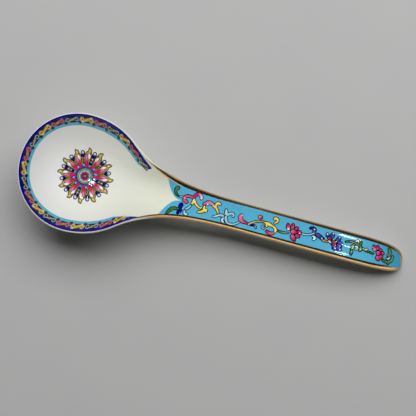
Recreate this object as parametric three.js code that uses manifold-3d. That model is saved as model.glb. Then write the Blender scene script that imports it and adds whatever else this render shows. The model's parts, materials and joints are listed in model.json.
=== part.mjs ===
// Bone china serving spoon with an enamel border, rosette and handle panel, and a gilt handle edge.
// Millimetres, +Z up. The origin is the middle of the ground foot under the bowl. +X runs along
// the handle to its tip. The body is the same on both sides of the XZ plane,
// apart from a slight slant of the tip's end.

import * as THREE from "three";
import { mergeVertices } from "three/addons/utils/BufferGeometryUtils.js";
import Module from "manifold-3d";

// Outline of the china body, seen from above
const BOWL_RADIUS = 32; // half the width across the bowl
const BOWL_REACH = 37.7; // half-length of the bowl's oval on the handle side
const SHOULDER_DEG = 47.5; // where the oval gives way to the neck
const SHOULDER_PULL = 22.3; // how far the neck's curve keeps the shoulder's direction
const NECK_PULL = 32.3; // how far back from its end the neck runs along the handle
const NECK_END = 92.8; // bowl centre to the end of the neck
const NECK_WIDTH = 15.8; // across the handle at the end of the neck
const TIP_WIDTH = 15.9; // across the handle where the tip starts to round in
const SPOON_REACH = 182.8; // bowl centre to the handle's tip
const TIP_TAPER = 25; // length over which the tip rounds in
const TIP_HOLD = 25; // how far the tip's curve keeps the handle's direction
const TIP_BLUNT = 4.8; // how far the curve of the tip's end keeps straight across
const TIP_SLANT = 0.18; // how much sooner the tip ends for each millimetre to the left

// Middle line of the body, from which the upper face and the underside spread to the outline
const NECK_FAN = 46; // where the lines across the neck become square to the handle
const TIP_FAN = 7.5; // last point of the middle line, measured from the tip

// Heights and curves
const RIM_HEIGHT = 23; // table to the inner edge of the bowl's lip
const BOWL_DEPTH = 20.8; // inner edge of the lip to the bowl's lowest point inside
const BOWL_CURVE = 2.3; // power of the bowl's hollow: 2 is a parabola
const RAMP_LENGTH = 64; // bowl centre to where the hollow has run out into the handle
const SINK_START = 8; // where the edge leaves the level of the rim
const SINK_END = 100; // where the edge has sunk to the level of the handle
const HANDLE_SINK = 9; // how far the handle lies below the rim
const TIP_DROOP = 12; // power of the fall to the tip
const PANEL_DISH = 0.5; // hollow across the top of the handle
const HANDLE_THICKNESS = 6.6; // top edge to the middle of the underside
const BELLY_CURVE = 2.6; // power of the curve across the handle's underside
const FOOT_CUT = 0.8; // depth ground off the round underside to make the foot
const TIP_CUT = 0.2; // depth ground off under the tip

// Lip of the bowl and rounded edge of the handle
const BOWL_LIP = 1.1; // width of the lip
const BOWL_LIP_DROP = 1; // inner edge of the lip to its outer edge, downwards
const HANDLE_LIP = 2.4; // width of the handle's rounded edge
const HANDLE_LIP_DROP = 2.2; // top of that edge to the widest line of the handle
const LIP_ROUND = 0.55; // fullness of the rounding
const LIP_CHANGE_START = 26; // where the bowl's lip starts to become the handle's edge
const LIP_CHANGE_END = 54; // where it has become the handle's edge

// Enamel and gold coats
const COAT = 0.25; // thickness of a coat
const SEAT_GAP = 0.15; // clearance between a coat and what it lies on
const COAT_SPACING = 0.2; // clearance between coats side by side
const COBALT_WIDTH = 1.4; // seen from above
const SCROLL_WIDTH = 3.0; // seen from above
const TURQUOISE_WIDTH = 1.6; // seen from above
const BORDER_END = 37; // where the border ends at the neck
const BORDER_SLANT = 1.1; // how much sooner the border ends for each millimetre inwards
const GILT_START = 35.5; // where the gilt edge begins
const GILT_FULL = 50; // where it has its full width
const GILT_WRAP = 0.8; // share of the rounded edge that is gilt
const GILT_BEGIN_SHARE = 0.2; // share of that width at its beginning
const PANEL_POINT = 56.5; // where the white of the bowl runs to a point between the panel's lobes
const PANEL_LOBE = 9.5; // how much further the lobes reach towards the bowl
const PANEL_SHARE = 0.97; // share of the handle's top that the panel covers

// Rosette in the bowl
const PETAL_COUNT = 12;
const ROSETTE_TURN_DEG = 6; // first petal's direction, from the handle's axis
const ROSETTE_RADIUS = 15.4; // centre to petal tips
const PETAL_VALLEY = 8.6; // centre to where neighbouring petals part
const PETAL_TAPER = 1.5; // power that narrows a petal to its tip
const RING_OUTER = 4.1;
const RING_INNER = 2.9;
const CORE_RADIUS = 2.5;
const DROP_ORBIT = 12.6; // centre to the middle of a drop
const DROP_LENGTH = 3.4;
const DROP_WIDTH = 2;
const DROP_TAPER = 0.45; // how much narrower a drop is towards the centre

// Lotus flowers on the handle panel
const LOTUS_PETALS = 8;
const LOTUS_LENGTH = 9.6; // across the handle
const LOTUS_WIDTH = 7.6; // along the handle
const LOTUS_NOTCH = 0.28; // depth of the notch between petals, as a share of the half size
const LOTUS_NECK_AT = 118.6;
const LOTUS_MIDDLE_AT = 140.7;
const LOTUS_TIP_AT = 167;

// Facets
const STATIONS = 66; // along one side of the outline
const TOP_STEPS = 8; // middle line to lip
const LIP_STEPS = 4; // round the lip
const UNDER_STEPS = 8; // lip to middle line
const BORDER_ROWS = 56; // along a border band
const PANEL_ROWS = 80; // round the handle panel
const PANEL_COLUMNS = 4; // middle line to the panel's edge
const GILT_ROWS = 96; // along the gilt edge
const GILT_COLUMNS = 3; // round the handle's edge
const PETAL_ROWS = 8; // round one petal of the rosette
const RING_ROWS = 36;
const CORE_ROWS = 24;
const DROP_ROWS = 12;
const LOTUS_ROWS = 5; // round one petal of a lotus flower

// Accuracy
const HALVINGS = 40; // when a place is searched for
const STEP = 1e-3; // for slopes
const NEAR_ZERO = 1e-6; // least distance from the middle line
const WELD = 1e-4; // vertices closer than this are one

const { Manifold, Mesh } = await (async () => {
  const kernel = await Module();
  kernel.setup();
  return kernel;
})();
const { clamp, degToRad, euclideanModulo, lerp, smoothstep } = THREE.MathUtils;

// One side of the outline, from the front of the bowl to the handle's tip.
function halfOutline() {
  const shoulder = degToRad(SHOULDER_DEG);
  const leave = new THREE.Vector2(BOWL_REACH * Math.cos(shoulder), BOWL_RADIUS * Math.sin(shoulder));
  const heading = new THREE.Vector2(BOWL_REACH * Math.sin(shoulder), -BOWL_RADIUS * Math.cos(shoulder));
  heading.setLength(SHOULDER_PULL);
  const neckEnd = new THREE.Vector2(NECK_END, NECK_WIDTH / 2);
  const neckHold = new THREE.Vector2(NECK_END - NECK_PULL, NECK_WIDTH / 2);
  const tipStart = new THREE.Vector2(SPOON_REACH - TIP_TAPER, TIP_WIDTH / 2);
  const tipHold = new THREE.Vector2(SPOON_REACH - TIP_TAPER + TIP_HOLD, TIP_WIDTH / 2);
  const tipBlunt = new THREE.Vector2(SPOON_REACH, TIP_BLUNT);
  const tip = new THREE.Vector2(SPOON_REACH, 0);
  const outline = new THREE.CurvePath();
  outline.add(new THREE.EllipseCurve(0, 0, BOWL_RADIUS, BOWL_RADIUS, Math.PI, Math.PI / 2, true));
  outline.add(new THREE.EllipseCurve(0, 0, BOWL_REACH, BOWL_RADIUS, Math.PI / 2, shoulder, true));
  outline.add(new THREE.CubicBezierCurve(leave, leave.clone().add(heading), neckHold, neckEnd));
  outline.add(new THREE.LineCurve(neckEnd, tipStart));
  outline.add(new THREE.CubicBezierCurve(tipStart, tipHold, tipBlunt, tip));
  return outline;
}
const OUTLINE = halfOutline();

// Place on the middle line that belongs to a place on the outline.
function middleX(x) {
  const fromTip = SPOON_REACH - x;
  if (x <= 0) return 0;
  if (x < NECK_FAN) return (x * x * (2 - x / NECK_FAN)) / NECK_FAN;
  if (fromTip < 2 * TIP_FAN) return SPOON_REACH - TIP_FAN - (fromTip * fromTip) / (4 * TIP_FAN);
  return x;
}

// Line across the body from the middle line to the outline. The place runs from 0 at the front of
// the bowl to 1 at the tip on the left side, and to -1 on the right side. Past the tip it goes on
// from the other side.
function spokeAt(place) {
  const turned = euclideanModulo(place + 1, 2) - 1;
  const rim = OUTLINE.getPoint(Math.abs(turned));
  const y = turned < 0 ? -rim.y : rim.y;
  const x = rim.x - TIP_SLANT * y * smoothstep(rim.x, SPOON_REACH - TIP_TAPER, SPOON_REACH);
  const middle = middleX(rim.x);
  const reach = Math.hypot(x - middle, y);
  const change = smoothstep(rim.x, LIP_CHANGE_START, LIP_CHANGE_END);
  return {
    middle,
    reach,
    dx: (x - middle) / reach,
    dy: y / reach,
    lip: lerp(BOWL_LIP, HANDLE_LIP, change),
    lipDrop: lerp(BOWL_LIP_DROP, HANDLE_LIP_DROP, change),
    hollow: smoothstep(middle, 0, RAMP_LENGTH),
  };
}

// Height of the top edge: level round the bowl, then a soft step down to the handle and a fall to the tip.
function edgeHeight(x, fall) {
  const u = clamp((x - SINK_START) / (SPOON_REACH - SINK_START), 0, 1);
  return RIM_HEIGHT - HANDLE_SINK * smoothstep(x, SINK_START, SINK_END) - fall * u ** TIP_DROOP;
}

function topHeight(spoke, share, fall) {
  const x = spoke.middle + spoke.dx * share * (spoke.reach - spoke.lip);
  const depth = lerp(BOWL_DEPTH, PANEL_DISH, spoke.hollow);
  const power = lerp(BOWL_CURVE, 2, spoke.hollow);
  return edgeHeight(x, fall) - depth * (1 - share ** power);
}

function underHeight(spoke, share, fall) {
  const x = spoke.middle + spoke.dx * share * spoke.reach;
  const bowl = RIM_HEIGHT + FOOT_CUT - spoke.lipDrop;
  const depth = lerp(bowl, HANDLE_THICKNESS - spoke.lipDrop, spoke.hollow);
  const power = lerp(BOWL_CURVE, BELLY_CURVE, spoke.hollow);
  return edgeHeight(x, fall) - spoke.lipDrop - depth * (1 - share ** power);
}

// Fall from the rim's level to the tip with which the underside of the tip comes to the table.
function restingFall() {
  const spoke = spokeAt(1);
  const shares = Array.from({ length: HALVINGS + 1 }, (_, i) => i / HALVINGS);
  let low = 0;
  let high = 2 * RIM_HEIGHT;
  for (let i = 0; i < HALVINGS; i++) {
    const fall = (low + high) / 2;
    const lowest = Math.min(...shares.map((share) => underHeight(spoke, share, fall)));
    if (lowest > -TIP_CUT) low = fall;
    else high = fall;
  }
  return (low + high) / 2;
}
const FALL = restingFall();

// Point on the body's skin. The way round runs from 0 on the middle line of the upper face to 1 at the
// inner edge of the lip, 2 at its outer edge and 3 on the middle line of the underside.
function skin(place, round) {
  const spoke = spokeAt(place);
  const inner = spoke.reach - spoke.lip;
  let out;
  let height;
  if (round <= 1) {
    out = round * inner;
    height = topHeight(spoke, round, FALL);
  } else if (round >= 2) {
    out = (3 - round) * spoke.reach;
    height = underHeight(spoke, 3 - round, FALL);
  } else {
    const start = new THREE.Vector2(inner, topHeight(spoke, 1, FALL));
    const before = new THREE.Vector2((1 - STEP) * inner, topHeight(spoke, 1 - STEP, FALL));
    const end = new THREE.Vector2(spoke.reach, underHeight(spoke, 1, FALL));
    const lead = start.clone().sub(before).setLength(spoke.lip * LIP_ROUND);
    const hold = new THREE.Vector2(spoke.reach, end.y + spoke.lipDrop * LIP_ROUND);
    const edge = new THREE.CubicBezierCurve(start, start.clone().add(lead), hold, end);
    const point = edge.getPoint(round - 1);
    out = point.x;
    height = point.y;
  }
  return new THREE.Vector3(spoke.middle + spoke.dx * out, spoke.dy * out, height);
}

// Direction out of the china at a point of its skin.
function skinNormal(place, round) {
  const from = Math.max(round - STEP, STEP);
  const along = skin(place + STEP, from + STEP).sub(skin(place - STEP, from + STEP));
  const across = skin(place, from + 2 * STEP).sub(skin(place, from));
  return along.cross(across).normalize();
}

// Skin place under a point of the upper face that is given from above.
function topPlace(x, y) {
  const off = Math.max(Math.abs(y), NEAR_ZERO);
  const side = y < 0 ? -1 : 1;
  let low = 0;
  let high = 1;
  for (let i = 0; i < HALVINGS; i++) {
    const trial = (low + high) / 2;
    const spoke = spokeAt(side * trial);
    if ((x - spoke.middle) * side * spoke.dy < off * spoke.dx) high = trial;
    else low = trial;
  }
  const spoke = spokeAt(side * low);
  const round = Math.hypot(x - spoke.middle, off) / (spoke.reach - spoke.lip);
  return [side * low, round];
}

// Place on the outline at a distance along the handle's axis.
function placeAt(x) {
  let low = 0;
  let high = 1;
  for (let i = 0; i < HALVINGS; i++) {
    const trial = (low + high) / 2;
    if (OUTLINE.getPoint(trial).x < x) low = trial;
    else high = trial;
  }
  return low;
}

function geometryOf(points, triangles) {
  const geometry = new THREE.BufferGeometry().setFromPoints(points);
  geometry.setIndex(triangles);
  const welded = mergeVertices(geometry, WELD);
  const kept = [];
  const index = welded.index.array;
  for (let i = 0; i < index.length; i += 3) {
    const [a, b, c] = index.slice(i, i + 3);
    if (a !== b && b !== c && c !== a) kept.push(a, b, c);
  }
  welded.setIndex(kept);
  return welded;
}

function solidOf(geometry) {
  const triVerts = new Uint32Array(geometry.index.array);
  return new Manifold(new Mesh({ numProp: 3, vertProperties: geometry.attributes.position.array, triVerts }));
}

// Two triangles that fill a four-sided face, given by the numbers of its corners.
function quad(triangles, a, b, c, d) {
  triangles.push(a, b, c, a, c, d);
}

// Fired body with its foot and tip ground flat on the table.
function chinaBody() {
  const steps = TOP_STEPS + LIP_STEPS + UNDER_STEPS;
  const points = [];
  const triangles = [];
  for (let i = 0; i <= 2 * STATIONS; i++) {
    for (let j = 0; j <= steps; j++) {
      const onTop = j / TOP_STEPS;
      const onLip = 1 + (j - TOP_STEPS) / LIP_STEPS;
      const onUnder = 2 + (j - TOP_STEPS - LIP_STEPS) / UNDER_STEPS;
      const round = j <= TOP_STEPS ? onTop : j <= TOP_STEPS + LIP_STEPS ? onLip : onUnder;
      points.push(skin(i / STATIONS - 1, round));
    }
  }
  for (let i = 0; i < 2 * STATIONS; i++) {
    for (let j = 0; j < steps; j++) {
      const a = i * (steps + 1) + j;
      quad(triangles, a, a + steps + 1, a + steps + 2, a + 1);
    }
  }
  const blank = solidOf(geometryOf(points, triangles));
  const table = new THREE.BoxGeometry(3 * SPOON_REACH, 3 * BOWL_RADIUS, RIM_HEIGHT);
  table.translate(0, 0, -RIM_HEIGHT / 2);
  const tableSolid = solidOf(geometryOf(pointsOf(table), [...table.index.array]));
  const cut = blank.subtract(tableSolid).getMesh();
  const geometry = new THREE.BufferGeometry();
  geometry.setAttribute("position", new THREE.BufferAttribute(cut.vertProperties, 3));
  geometry.setIndex(new THREE.BufferAttribute(cut.triVerts, 1));
  return geometry;
}

function pointsOf(geometry) {
  const position = geometry.attributes.position;
  return Array.from({ length: position.count }, (_, i) => new THREE.Vector3().fromBufferAttribute(position, i));
}

// Thin coat over a patch of the skin. The spot function gives the skin place for two numbers from 0 to 1.
// A closed coat runs full circle, and a filled one has no inner edge.
function coat({ rows, columns, spot, closed = false, filled = false, layer = 0 }) {
  const points = [];
  const triangles = [];
  const wide = columns + 1;
  const base = layer * (COAT + SEAT_GAP) + SEAT_GAP;
  for (const rise of [base, base + COAT]) {
    for (let i = 0; i <= rows; i++) {
      for (let j = 0; j <= columns; j++) {
        const [place, round] = spot(i / rows, j / columns);
        points.push(skin(place, round).addScaledVector(skinNormal(place, round), rise));
      }
    }
  }
  const upper = (rows + 1) * wide;
  for (let i = 0; i < rows; i++) {
    for (let j = 0; j < columns; j++) {
      const a = i * wide + j;
      quad(triangles, a, a + wide, a + wide + 1, a + 1);
      quad(triangles, a + upper, a + upper + 1, a + upper + wide + 1, a + upper + wide);
    }
    const a = i * wide;
    const b = a + columns;
    quad(triangles, b, b + wide, b + wide + upper, b + upper);
    if (!filled) quad(triangles, a, a + upper, a + wide + upper, a + wide);
  }
  for (let j = 0; j < columns && !closed; j++) {
    const b = rows * wide + j;
    quad(triangles, j, j + 1, j + 1 + upper, j + upper);
    quad(triangles, b, b + upper, b + 1 + upper, b + 1);
  }
  return geometryOf(points, triangles);
}

// Way round the skin at a distance in from the inner edge of the lip, seen from above.
function roundInside(place, inset) {
  const spoke = spokeAt(place);
  return 1 - inset / (spoke.reach - spoke.lip);
}

// Border band between two distances in from the lip, slanted at its two ends.
function borderBand(from, to) {
  return coat({
    rows: BORDER_ROWS,
    columns: 1,
    spot: (u, v) => {
      const inset = COAT_SPACING / 2 + lerp(to - COAT_SPACING, from, v);
      const end = placeAt(BORDER_END - BORDER_SLANT * inset);
      const place = lerp(end, -end, u);
      return [place, roundInside(place, inset)];
    },
  });
}

// Place on a way that starts on the right side, passes the tip and ends on the left side.
function placeRoundTip(u, start) {
  return u < 0.5 ? -lerp(start, 1, 2 * u) : lerp(1, start, 2 * u - 1);
}

// Turquoise panel on the handle's top, with two lobes towards the bowl.
function handlePanel() {
  return coat({
    rows: PANEL_ROWS,
    columns: PANEL_COLUMNS,
    filled: true,
    spot: (u, v) => {
      const start = placeAt(PANEL_POINT - PANEL_LOBE * Math.sqrt(v));
      return [placeRoundTip(u, start), PANEL_SHARE * v];
    },
  });
}

// Gilt band over the rounded edge of the handle, narrow where it begins at the neck.
function giltEdge() {
  const start = placeAt(GILT_START);
  const full = placeAt(GILT_FULL);
  return coat({
    rows: GILT_ROWS,
    columns: GILT_COLUMNS,
    spot: (u, v) => {
      const place = placeRoundTip(u, start);
      const share = lerp(GILT_BEGIN_SHARE, 1, smoothstep(Math.abs(place), start, full));
      return [place, 1 + GILT_WRAP * share * v];
    },
  });
}

// Coat in the bowl between two distances from its middle, which may change with the direction.
function bowlCoat(rows, columns, inner, outer) {
  return coat({
    rows,
    columns,
    closed: true,
    filled: inner === 0,
    spot: (u, v) => {
      const turn = 2 * Math.PI * (u % 1);
      const out = lerp(inner, outer(turn), v);
      return topPlace(out * Math.cos(turn), out * Math.sin(turn));
    },
  });
}

function petalEdge(turn) {
  const wave = Math.abs(Math.cos((PETAL_COUNT / 2) * (turn - degToRad(ROSETTE_TURN_DEG))));
  return lerp(PETAL_VALLEY, ROSETTE_RADIUS, wave ** PETAL_TAPER);
}

// Drop between two petals: a rounded shape, narrower towards the middle of the bowl.
function rosetteDrop(number) {
  const aim = degToRad(ROSETTE_TURN_DEG) + ((number + 0.5) * 2 * Math.PI) / PETAL_COUNT;
  return coat({
    rows: DROP_ROWS,
    columns: 1,
    closed: true,
    filled: true,
    spot: (u, v) => {
      const turn = 2 * Math.PI * (u % 1);
      const out = DROP_ORBIT + v * (DROP_LENGTH / 2) * Math.cos(turn);
      const aside = v * (DROP_WIDTH / 2) * Math.sin(turn) * (1 + DROP_TAPER * Math.cos(turn));
      const x = out * Math.cos(aim) - aside * Math.sin(aim);
      const y = out * Math.sin(aim) + aside * Math.cos(aim);
      return topPlace(x, y);
    },
  });
}

// Lotus flower on top of the handle panel.
function lotus(at) {
  return coat({
    rows: LOTUS_ROWS * LOTUS_PETALS,
    columns: 2,
    closed: true,
    filled: true,
    layer: 1,
    spot: (u, v) => {
      const turn = 2 * Math.PI * (u % 1);
      const full = 1 - LOTUS_NOTCH * Math.abs(Math.sin((LOTUS_PETALS / 2) * turn));
      const x = at + v * full * (LOTUS_WIDTH / 2) * Math.cos(turn);
      const y = v * full * (LOTUS_LENGTH / 2) * Math.sin(turn);
      return topPlace(x, y);
    },
  });
}

const spoon = new THREE.Group();

function add(name, geometry, color, roughness, metalness = 0) {
  const mesh = new THREE.Mesh(geometry, new THREE.MeshStandardMaterial({ color, roughness, metalness }));
  mesh.name = name;
  spoon.add(mesh);
}

const COBALT_TO = COBALT_WIDTH;
const SCROLL_TO = COBALT_TO + SCROLL_WIDTH;
const TURQUOISE_TO = SCROLL_TO + TURQUOISE_WIDTH;

add("china_body", chinaBody(), "#e4e4e0", 0.12);
add("rim_cobalt_band", borderBand(0, COBALT_TO), "#0a12a0", 0.2);
add("rim_scroll_band", borderBand(COBALT_TO, SCROLL_TO), "#c9a648", 0.25);
add("rim_turquoise_band", borderBand(SCROLL_TO, TURQUOISE_TO), "#5ab9d7", 0.2);
add("rosette_petals", bowlCoat(PETAL_ROWS * PETAL_COUNT, 2, RING_OUTER + COAT_SPACING, petalEdge), "#c72a6c", 0.25);
add("rosette_ring", bowlCoat(RING_ROWS, 1, RING_INNER, () => RING_OUTER), "#2f6b30", 0.25);
add("rosette_core", bowlCoat(CORE_ROWS, 1, 0, () => CORE_RADIUS), "#8a2448", 0.25);
for (let i = 0; i < PETAL_COUNT; i++) {
  add("rosette_drop_" + String(i + 1).padStart(2, "0"), rosetteDrop(i), "#10189a", 0.2);
}
add("handle_panel", handlePanel(), "#5ab9d7", 0.18);
add("lotus_neck", lotus(LOTUS_NECK_AT), "#cc3a78", 0.25);
add("lotus_middle", lotus(LOTUS_MIDDLE_AT), "#3a5fc4", 0.25);
add("lotus_tip", lotus(LOTUS_TIP_AT), "#cc3a78", 0.25);
add("gilt_edge", giltEdge(), "#d9a441", 0.22, 1);

export default spoon;
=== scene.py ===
# %% [markdown]
# # A painted bone china spoon
# The spoon is one fired body with thin enamel and gold coats melted onto its glaze. The lesson loads the
# fixed frame, works out the body as a formula, and then paints every coat as a thin surface on that formula.

# %% Load the frame
import json
import bmesh
import bpy
import numpy as np
from mathutils import Euler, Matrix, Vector

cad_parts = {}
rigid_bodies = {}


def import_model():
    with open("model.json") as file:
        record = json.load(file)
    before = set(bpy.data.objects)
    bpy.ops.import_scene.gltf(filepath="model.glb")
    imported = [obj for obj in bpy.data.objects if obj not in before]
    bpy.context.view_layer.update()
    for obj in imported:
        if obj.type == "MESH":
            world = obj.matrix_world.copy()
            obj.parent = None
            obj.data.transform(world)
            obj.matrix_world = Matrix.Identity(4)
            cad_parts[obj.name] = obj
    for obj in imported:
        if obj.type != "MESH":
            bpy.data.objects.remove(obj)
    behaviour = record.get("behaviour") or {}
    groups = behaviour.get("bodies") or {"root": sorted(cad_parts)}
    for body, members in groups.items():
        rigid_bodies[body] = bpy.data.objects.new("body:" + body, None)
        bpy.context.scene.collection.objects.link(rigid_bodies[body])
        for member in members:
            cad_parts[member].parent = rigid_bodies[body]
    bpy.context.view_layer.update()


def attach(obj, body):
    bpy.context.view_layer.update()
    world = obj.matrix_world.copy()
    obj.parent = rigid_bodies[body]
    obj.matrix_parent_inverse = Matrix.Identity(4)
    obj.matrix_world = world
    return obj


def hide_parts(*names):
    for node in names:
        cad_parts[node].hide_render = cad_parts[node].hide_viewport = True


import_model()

MM = 0.001
scene = bpy.context.scene

# %% [markdown]
# ## The shape as a formula
# Seen from above the spoon is a round bowl, a waisted neck and a straight handle with a blunt tip. The edge
# could be drawn by hand, but a circle, an oval and two Bezier curves give the same line with few sizes.
# Straight lines, called spokes here, run from the middle line to that edge, and each one carries a profile:
# hollow on top, a rounded lip, and a full underside.

# %% Sizes in millimetres
BOWL_RADIUS, BOWL_REACH, SHOULDER_DEG = 32.0, 37.7, 47.5
SHOULDER_PULL, NECK_PULL, NECK_END, NECK_WIDTH = 22.3, 32.3, 92.8, 15.8
TIP_WIDTH, SPOON_REACH, TIP_TAPER, TIP_HOLD, TIP_BLUNT, TIP_SLANT = 15.9, 182.8, 25.0, 25.0, 4.8, 0.18
NECK_FAN, TIP_FAN = 46.0, 7.5
RIM_HEIGHT, BOWL_DEPTH, BOWL_CURVE, RAMP_LENGTH = 23.0, 20.8, 2.3, 64.0
SINK_START, SINK_END, HANDLE_SINK, TIP_DROOP, PANEL_DISH = 8.0, 100.0, 9.0, 12.0, 0.5
HANDLE_THICKNESS, BELLY_CURVE, FOOT_CUT, TIP_CUT = 6.6, 2.6, 0.8, 0.2
BOWL_LIP, BOWL_LIP_DROP, HANDLE_LIP, HANDLE_LIP_DROP = 1.1, 1.0, 2.4, 2.2
LIP_ROUND, LIP_CHANGE_START, LIP_CHANGE_END = 0.55, 26.0, 54.0


def lerp(a, b, t):
    """Part of the way t from a to b."""
    return a + (b - a) * t


def smoothstep(x, low, high):
    """Soft step from 0 at low to 1 at high: 3t squared minus 2t cubed."""
    t = np.clip((x - low) / (high - low), 0, 1)
    return t * t * (3 - 2 * t)


def bernstein(t):
    """The four weights of a cubic Bezier curve at t."""
    return (1 - t) ** 3, 3 * t * (1 - t) ** 2, 3 * t * t * (1 - t), t ** 3


def walked_length(points):
    """Length walked along a line of points, at each point."""
    return np.append(0, np.cumsum(np.linalg.norm(np.diff(points, axis=0), axis=1)))


# %% Edge of the spoon seen from above
CURVE_STEPS = 400


def half_outline():
    """One side of the edge, as places from 0 at the bowl's front to 1 at the tip, and their points.

    A quarter circle, part of an oval, a Bezier curve for the neck, a straight side and a Bezier tip.
    """
    t = np.linspace(0, 1, CURVE_STEPS)
    turn = lerp(np.pi, np.pi / 2, t)
    front = np.stack([BOWL_RADIUS * np.cos(turn), BOWL_RADIUS * np.sin(turn)], -1)
    turn = lerp(np.pi / 2, np.radians(SHOULDER_DEG), t)
    oval = np.stack([BOWL_REACH * np.cos(turn), BOWL_RADIUS * np.sin(turn)], -1)
    heading = np.array([BOWL_REACH * np.sin(turn[-1]), -BOWL_RADIUS * np.cos(turn[-1])])
    heading *= SHOULDER_PULL / np.hypot(*heading)
    half_neck, half_tip, tip_start = NECK_WIDTH / 2, TIP_WIDTH / 2, SPOON_REACH - TIP_TAPER
    neck_holds = [oval[-1], oval[-1] + heading, (NECK_END - NECK_PULL, half_neck), (NECK_END, half_neck)]
    tip_holds = [(tip_start, half_tip), (tip_start + TIP_HOLD, half_tip), (SPOON_REACH, TIP_BLUNT),
                 (SPOON_REACH, 0)]
    neck, tip = [np.stack(bernstein(t), -1) @ np.array(holds) for holds in (neck_holds, tip_holds)]
    points = np.concatenate([front, oval[1:], neck[1:], tip])
    length = walked_length(points)
    return length / length[-1], points


PLACES, OUTLINE = half_outline()
print("edge from front to tip:", len(PLACES), "points, widest", 2 * OUTLINE[:, 1].max(), "mm")


# %% Spokes
def spoke(place):
    """Line from the middle line to the edge: places 0 to 1 on the far side and 0 to -1 on the near side."""
    turned = np.mod(np.asarray(place, float) + 1, 2) - 1
    x = np.interp(np.abs(turned), PLACES, OUTLINE[:, 0])
    y = np.sign(turned) * np.interp(np.abs(turned), PLACES, OUTLINE[:, 1])
    slanted = x - TIP_SLANT * y * smoothstep(x, SPOON_REACH - TIP_TAPER, SPOON_REACH)
    to_tip = SPOON_REACH - x
    fan = x * x * (2 - x / NECK_FAN) / NECK_FAN
    last = SPOON_REACH - TIP_FAN - to_tip ** 2 / (4 * TIP_FAN)
    middle = np.select([x <= 0, x < NECK_FAN, to_tip < 2 * TIP_FAN], [0 * x, fan, last], x)
    reach = np.hypot(slanted - middle, y)
    change = smoothstep(x, LIP_CHANGE_START, LIP_CHANGE_END)
    return {
        "middle": middle, "reach": reach, "dx": (slanted - middle) / reach, "dy": y / reach,
        "lip": lerp(BOWL_LIP, HANDLE_LIP, change), "drop": lerp(BOWL_LIP_DROP, HANDLE_LIP_DROP, change),
        "hollow": smoothstep(middle, 0, RAMP_LENGTH),
    }


# %% Heights of the two faces
def edge_height(x, fall):
    """Level round the bowl, then a soft step down along the handle and a fall that grows towards the tip."""
    u = np.clip((x - SINK_START) / (SPOON_REACH - SINK_START), 0, 1)
    return RIM_HEIGHT - HANDLE_SINK * smoothstep(x, SINK_START, SINK_END) - fall * u ** TIP_DROOP


def top_height(s, share, fall):
    """Edge height less a hollow that is deepest on the middle line: depth times 1 minus share to a power."""
    x = s["middle"] + s["dx"] * share * (s["reach"] - s["lip"])
    depth = lerp(BOWL_DEPTH, PANEL_DISH, s["hollow"])
    return edge_height(x, fall) - depth * (1 - share ** lerp(BOWL_CURVE, 2, s["hollow"]))


def under_height(s, share, fall):
    """Outer edge of the lip less a belly that is fullest on the middle line."""
    x = s["middle"] + s["dx"] * share * s["reach"]
    depth = lerp(RIM_HEIGHT + FOOT_CUT, HANDLE_THICKNESS, s["hollow"]) - s["drop"]
    power = lerp(BOWL_CURVE, BELLY_CURVE, s["hollow"])
    return edge_height(x, fall) - s["drop"] - depth * (1 - share ** power)


FALL_HALVINGS, FALL_SHARES = 40, np.linspace(0, 1, 41)


def resting_fall():
    """Fall to the tip that brings the tip's underside to the table, found by halving."""
    low, high = 0.0, 2 * RIM_HEIGHT
    for _ in range(FALL_HALVINGS):
        fall = (low + high) / 2
        lowest = under_height(spoke(1.0), FALL_SHARES, fall).min()
        low, high = (fall, high) if lowest > -TIP_CUT else (low, fall)
    return fall


FALL = resting_fall()
print("fall of the handle to its tip:", round(FALL, 2), "mm")


# %% Skin of the body
SLOPE_STEP = 1e-3


def skin(place, way):
    """Point of the body's skin, in millimetres.

    The way round is 0 on the middle line on top, 1 at the lip's inner edge, 2 at its outer edge and 3 on
    the middle line below. The lip is a Bezier curve that leaves the top face without a crease.
    """
    s = spoke(place)
    inner = s["reach"] - s["lip"]
    start = top_height(s, 1, FALL)
    slope = (start - top_height(s, 1 - SLOPE_STEP, FALL)) / (SLOPE_STEP * inner)
    run = s["lip"] * LIP_ROUND / np.sqrt(1 + slope ** 2)
    end = under_height(s, 1, FALL)
    a, b, c, d = bernstein(np.clip(way - 1, 0, 1))
    lip_out = a * inner + b * (inner + run) + (c + d) * s["reach"]
    lip_height = a * start + b * (start + run * slope) + c * (end + s["drop"] * LIP_ROUND) + d * end
    on_top, below = np.clip(way, 0, 1), np.clip(3 - way, 0, 1)
    parts = [way <= 1, way < 2]
    out = np.select(parts, [on_top * inner, lip_out], below * s["reach"])
    height = np.select(parts, [top_height(s, on_top, FALL), lip_height], under_height(s, below, FALL))
    return np.stack([s["middle"] + s["dx"] * out, s["dy"] * out, height], -1)


def lifted(place, way, lift):
    """Skin point moved out of the china by a lift: the normal is the cross product of the two slopes."""
    way_in = np.maximum(way, 2 * SLOPE_STEP)
    along = skin(place + SLOPE_STEP, way_in) - skin(place - SLOPE_STEP, way_in)
    across = skin(place, way_in + SLOPE_STEP) - skin(place, way_in - SLOPE_STEP)
    normal = np.cross(along, across)
    normal /= np.linalg.norm(normal, axis=-1, keepdims=True)
    return skin(place, way) + normal * np.asarray(lift)[..., None]


# %% From a point seen from above to the skin
PLACE_HALVINGS, LEAST_OFFSET = 34, 1e-6


def top_place(x, y):
    """Place and way of the upper face under a point seen from above, found by halving between spokes."""
    off, side = np.maximum(np.abs(y), LEAST_OFFSET), np.where(y < 0, -1, 1)
    low, high = np.zeros_like(off), np.ones_like(off)
    for _ in range(PLACE_HALVINGS):
        trial = (low + high) / 2
        s = spoke(side * trial)
        before = (x - s["middle"]) * side * s["dy"] < off * s["dx"]
        high = np.where(before, trial, high)
        low = np.where(before, low, trial)
    s = spoke(side * low)
    way = np.hypot(x - s["middle"], off) / (s["reach"] - s["lip"])
    return side * low, way


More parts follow.
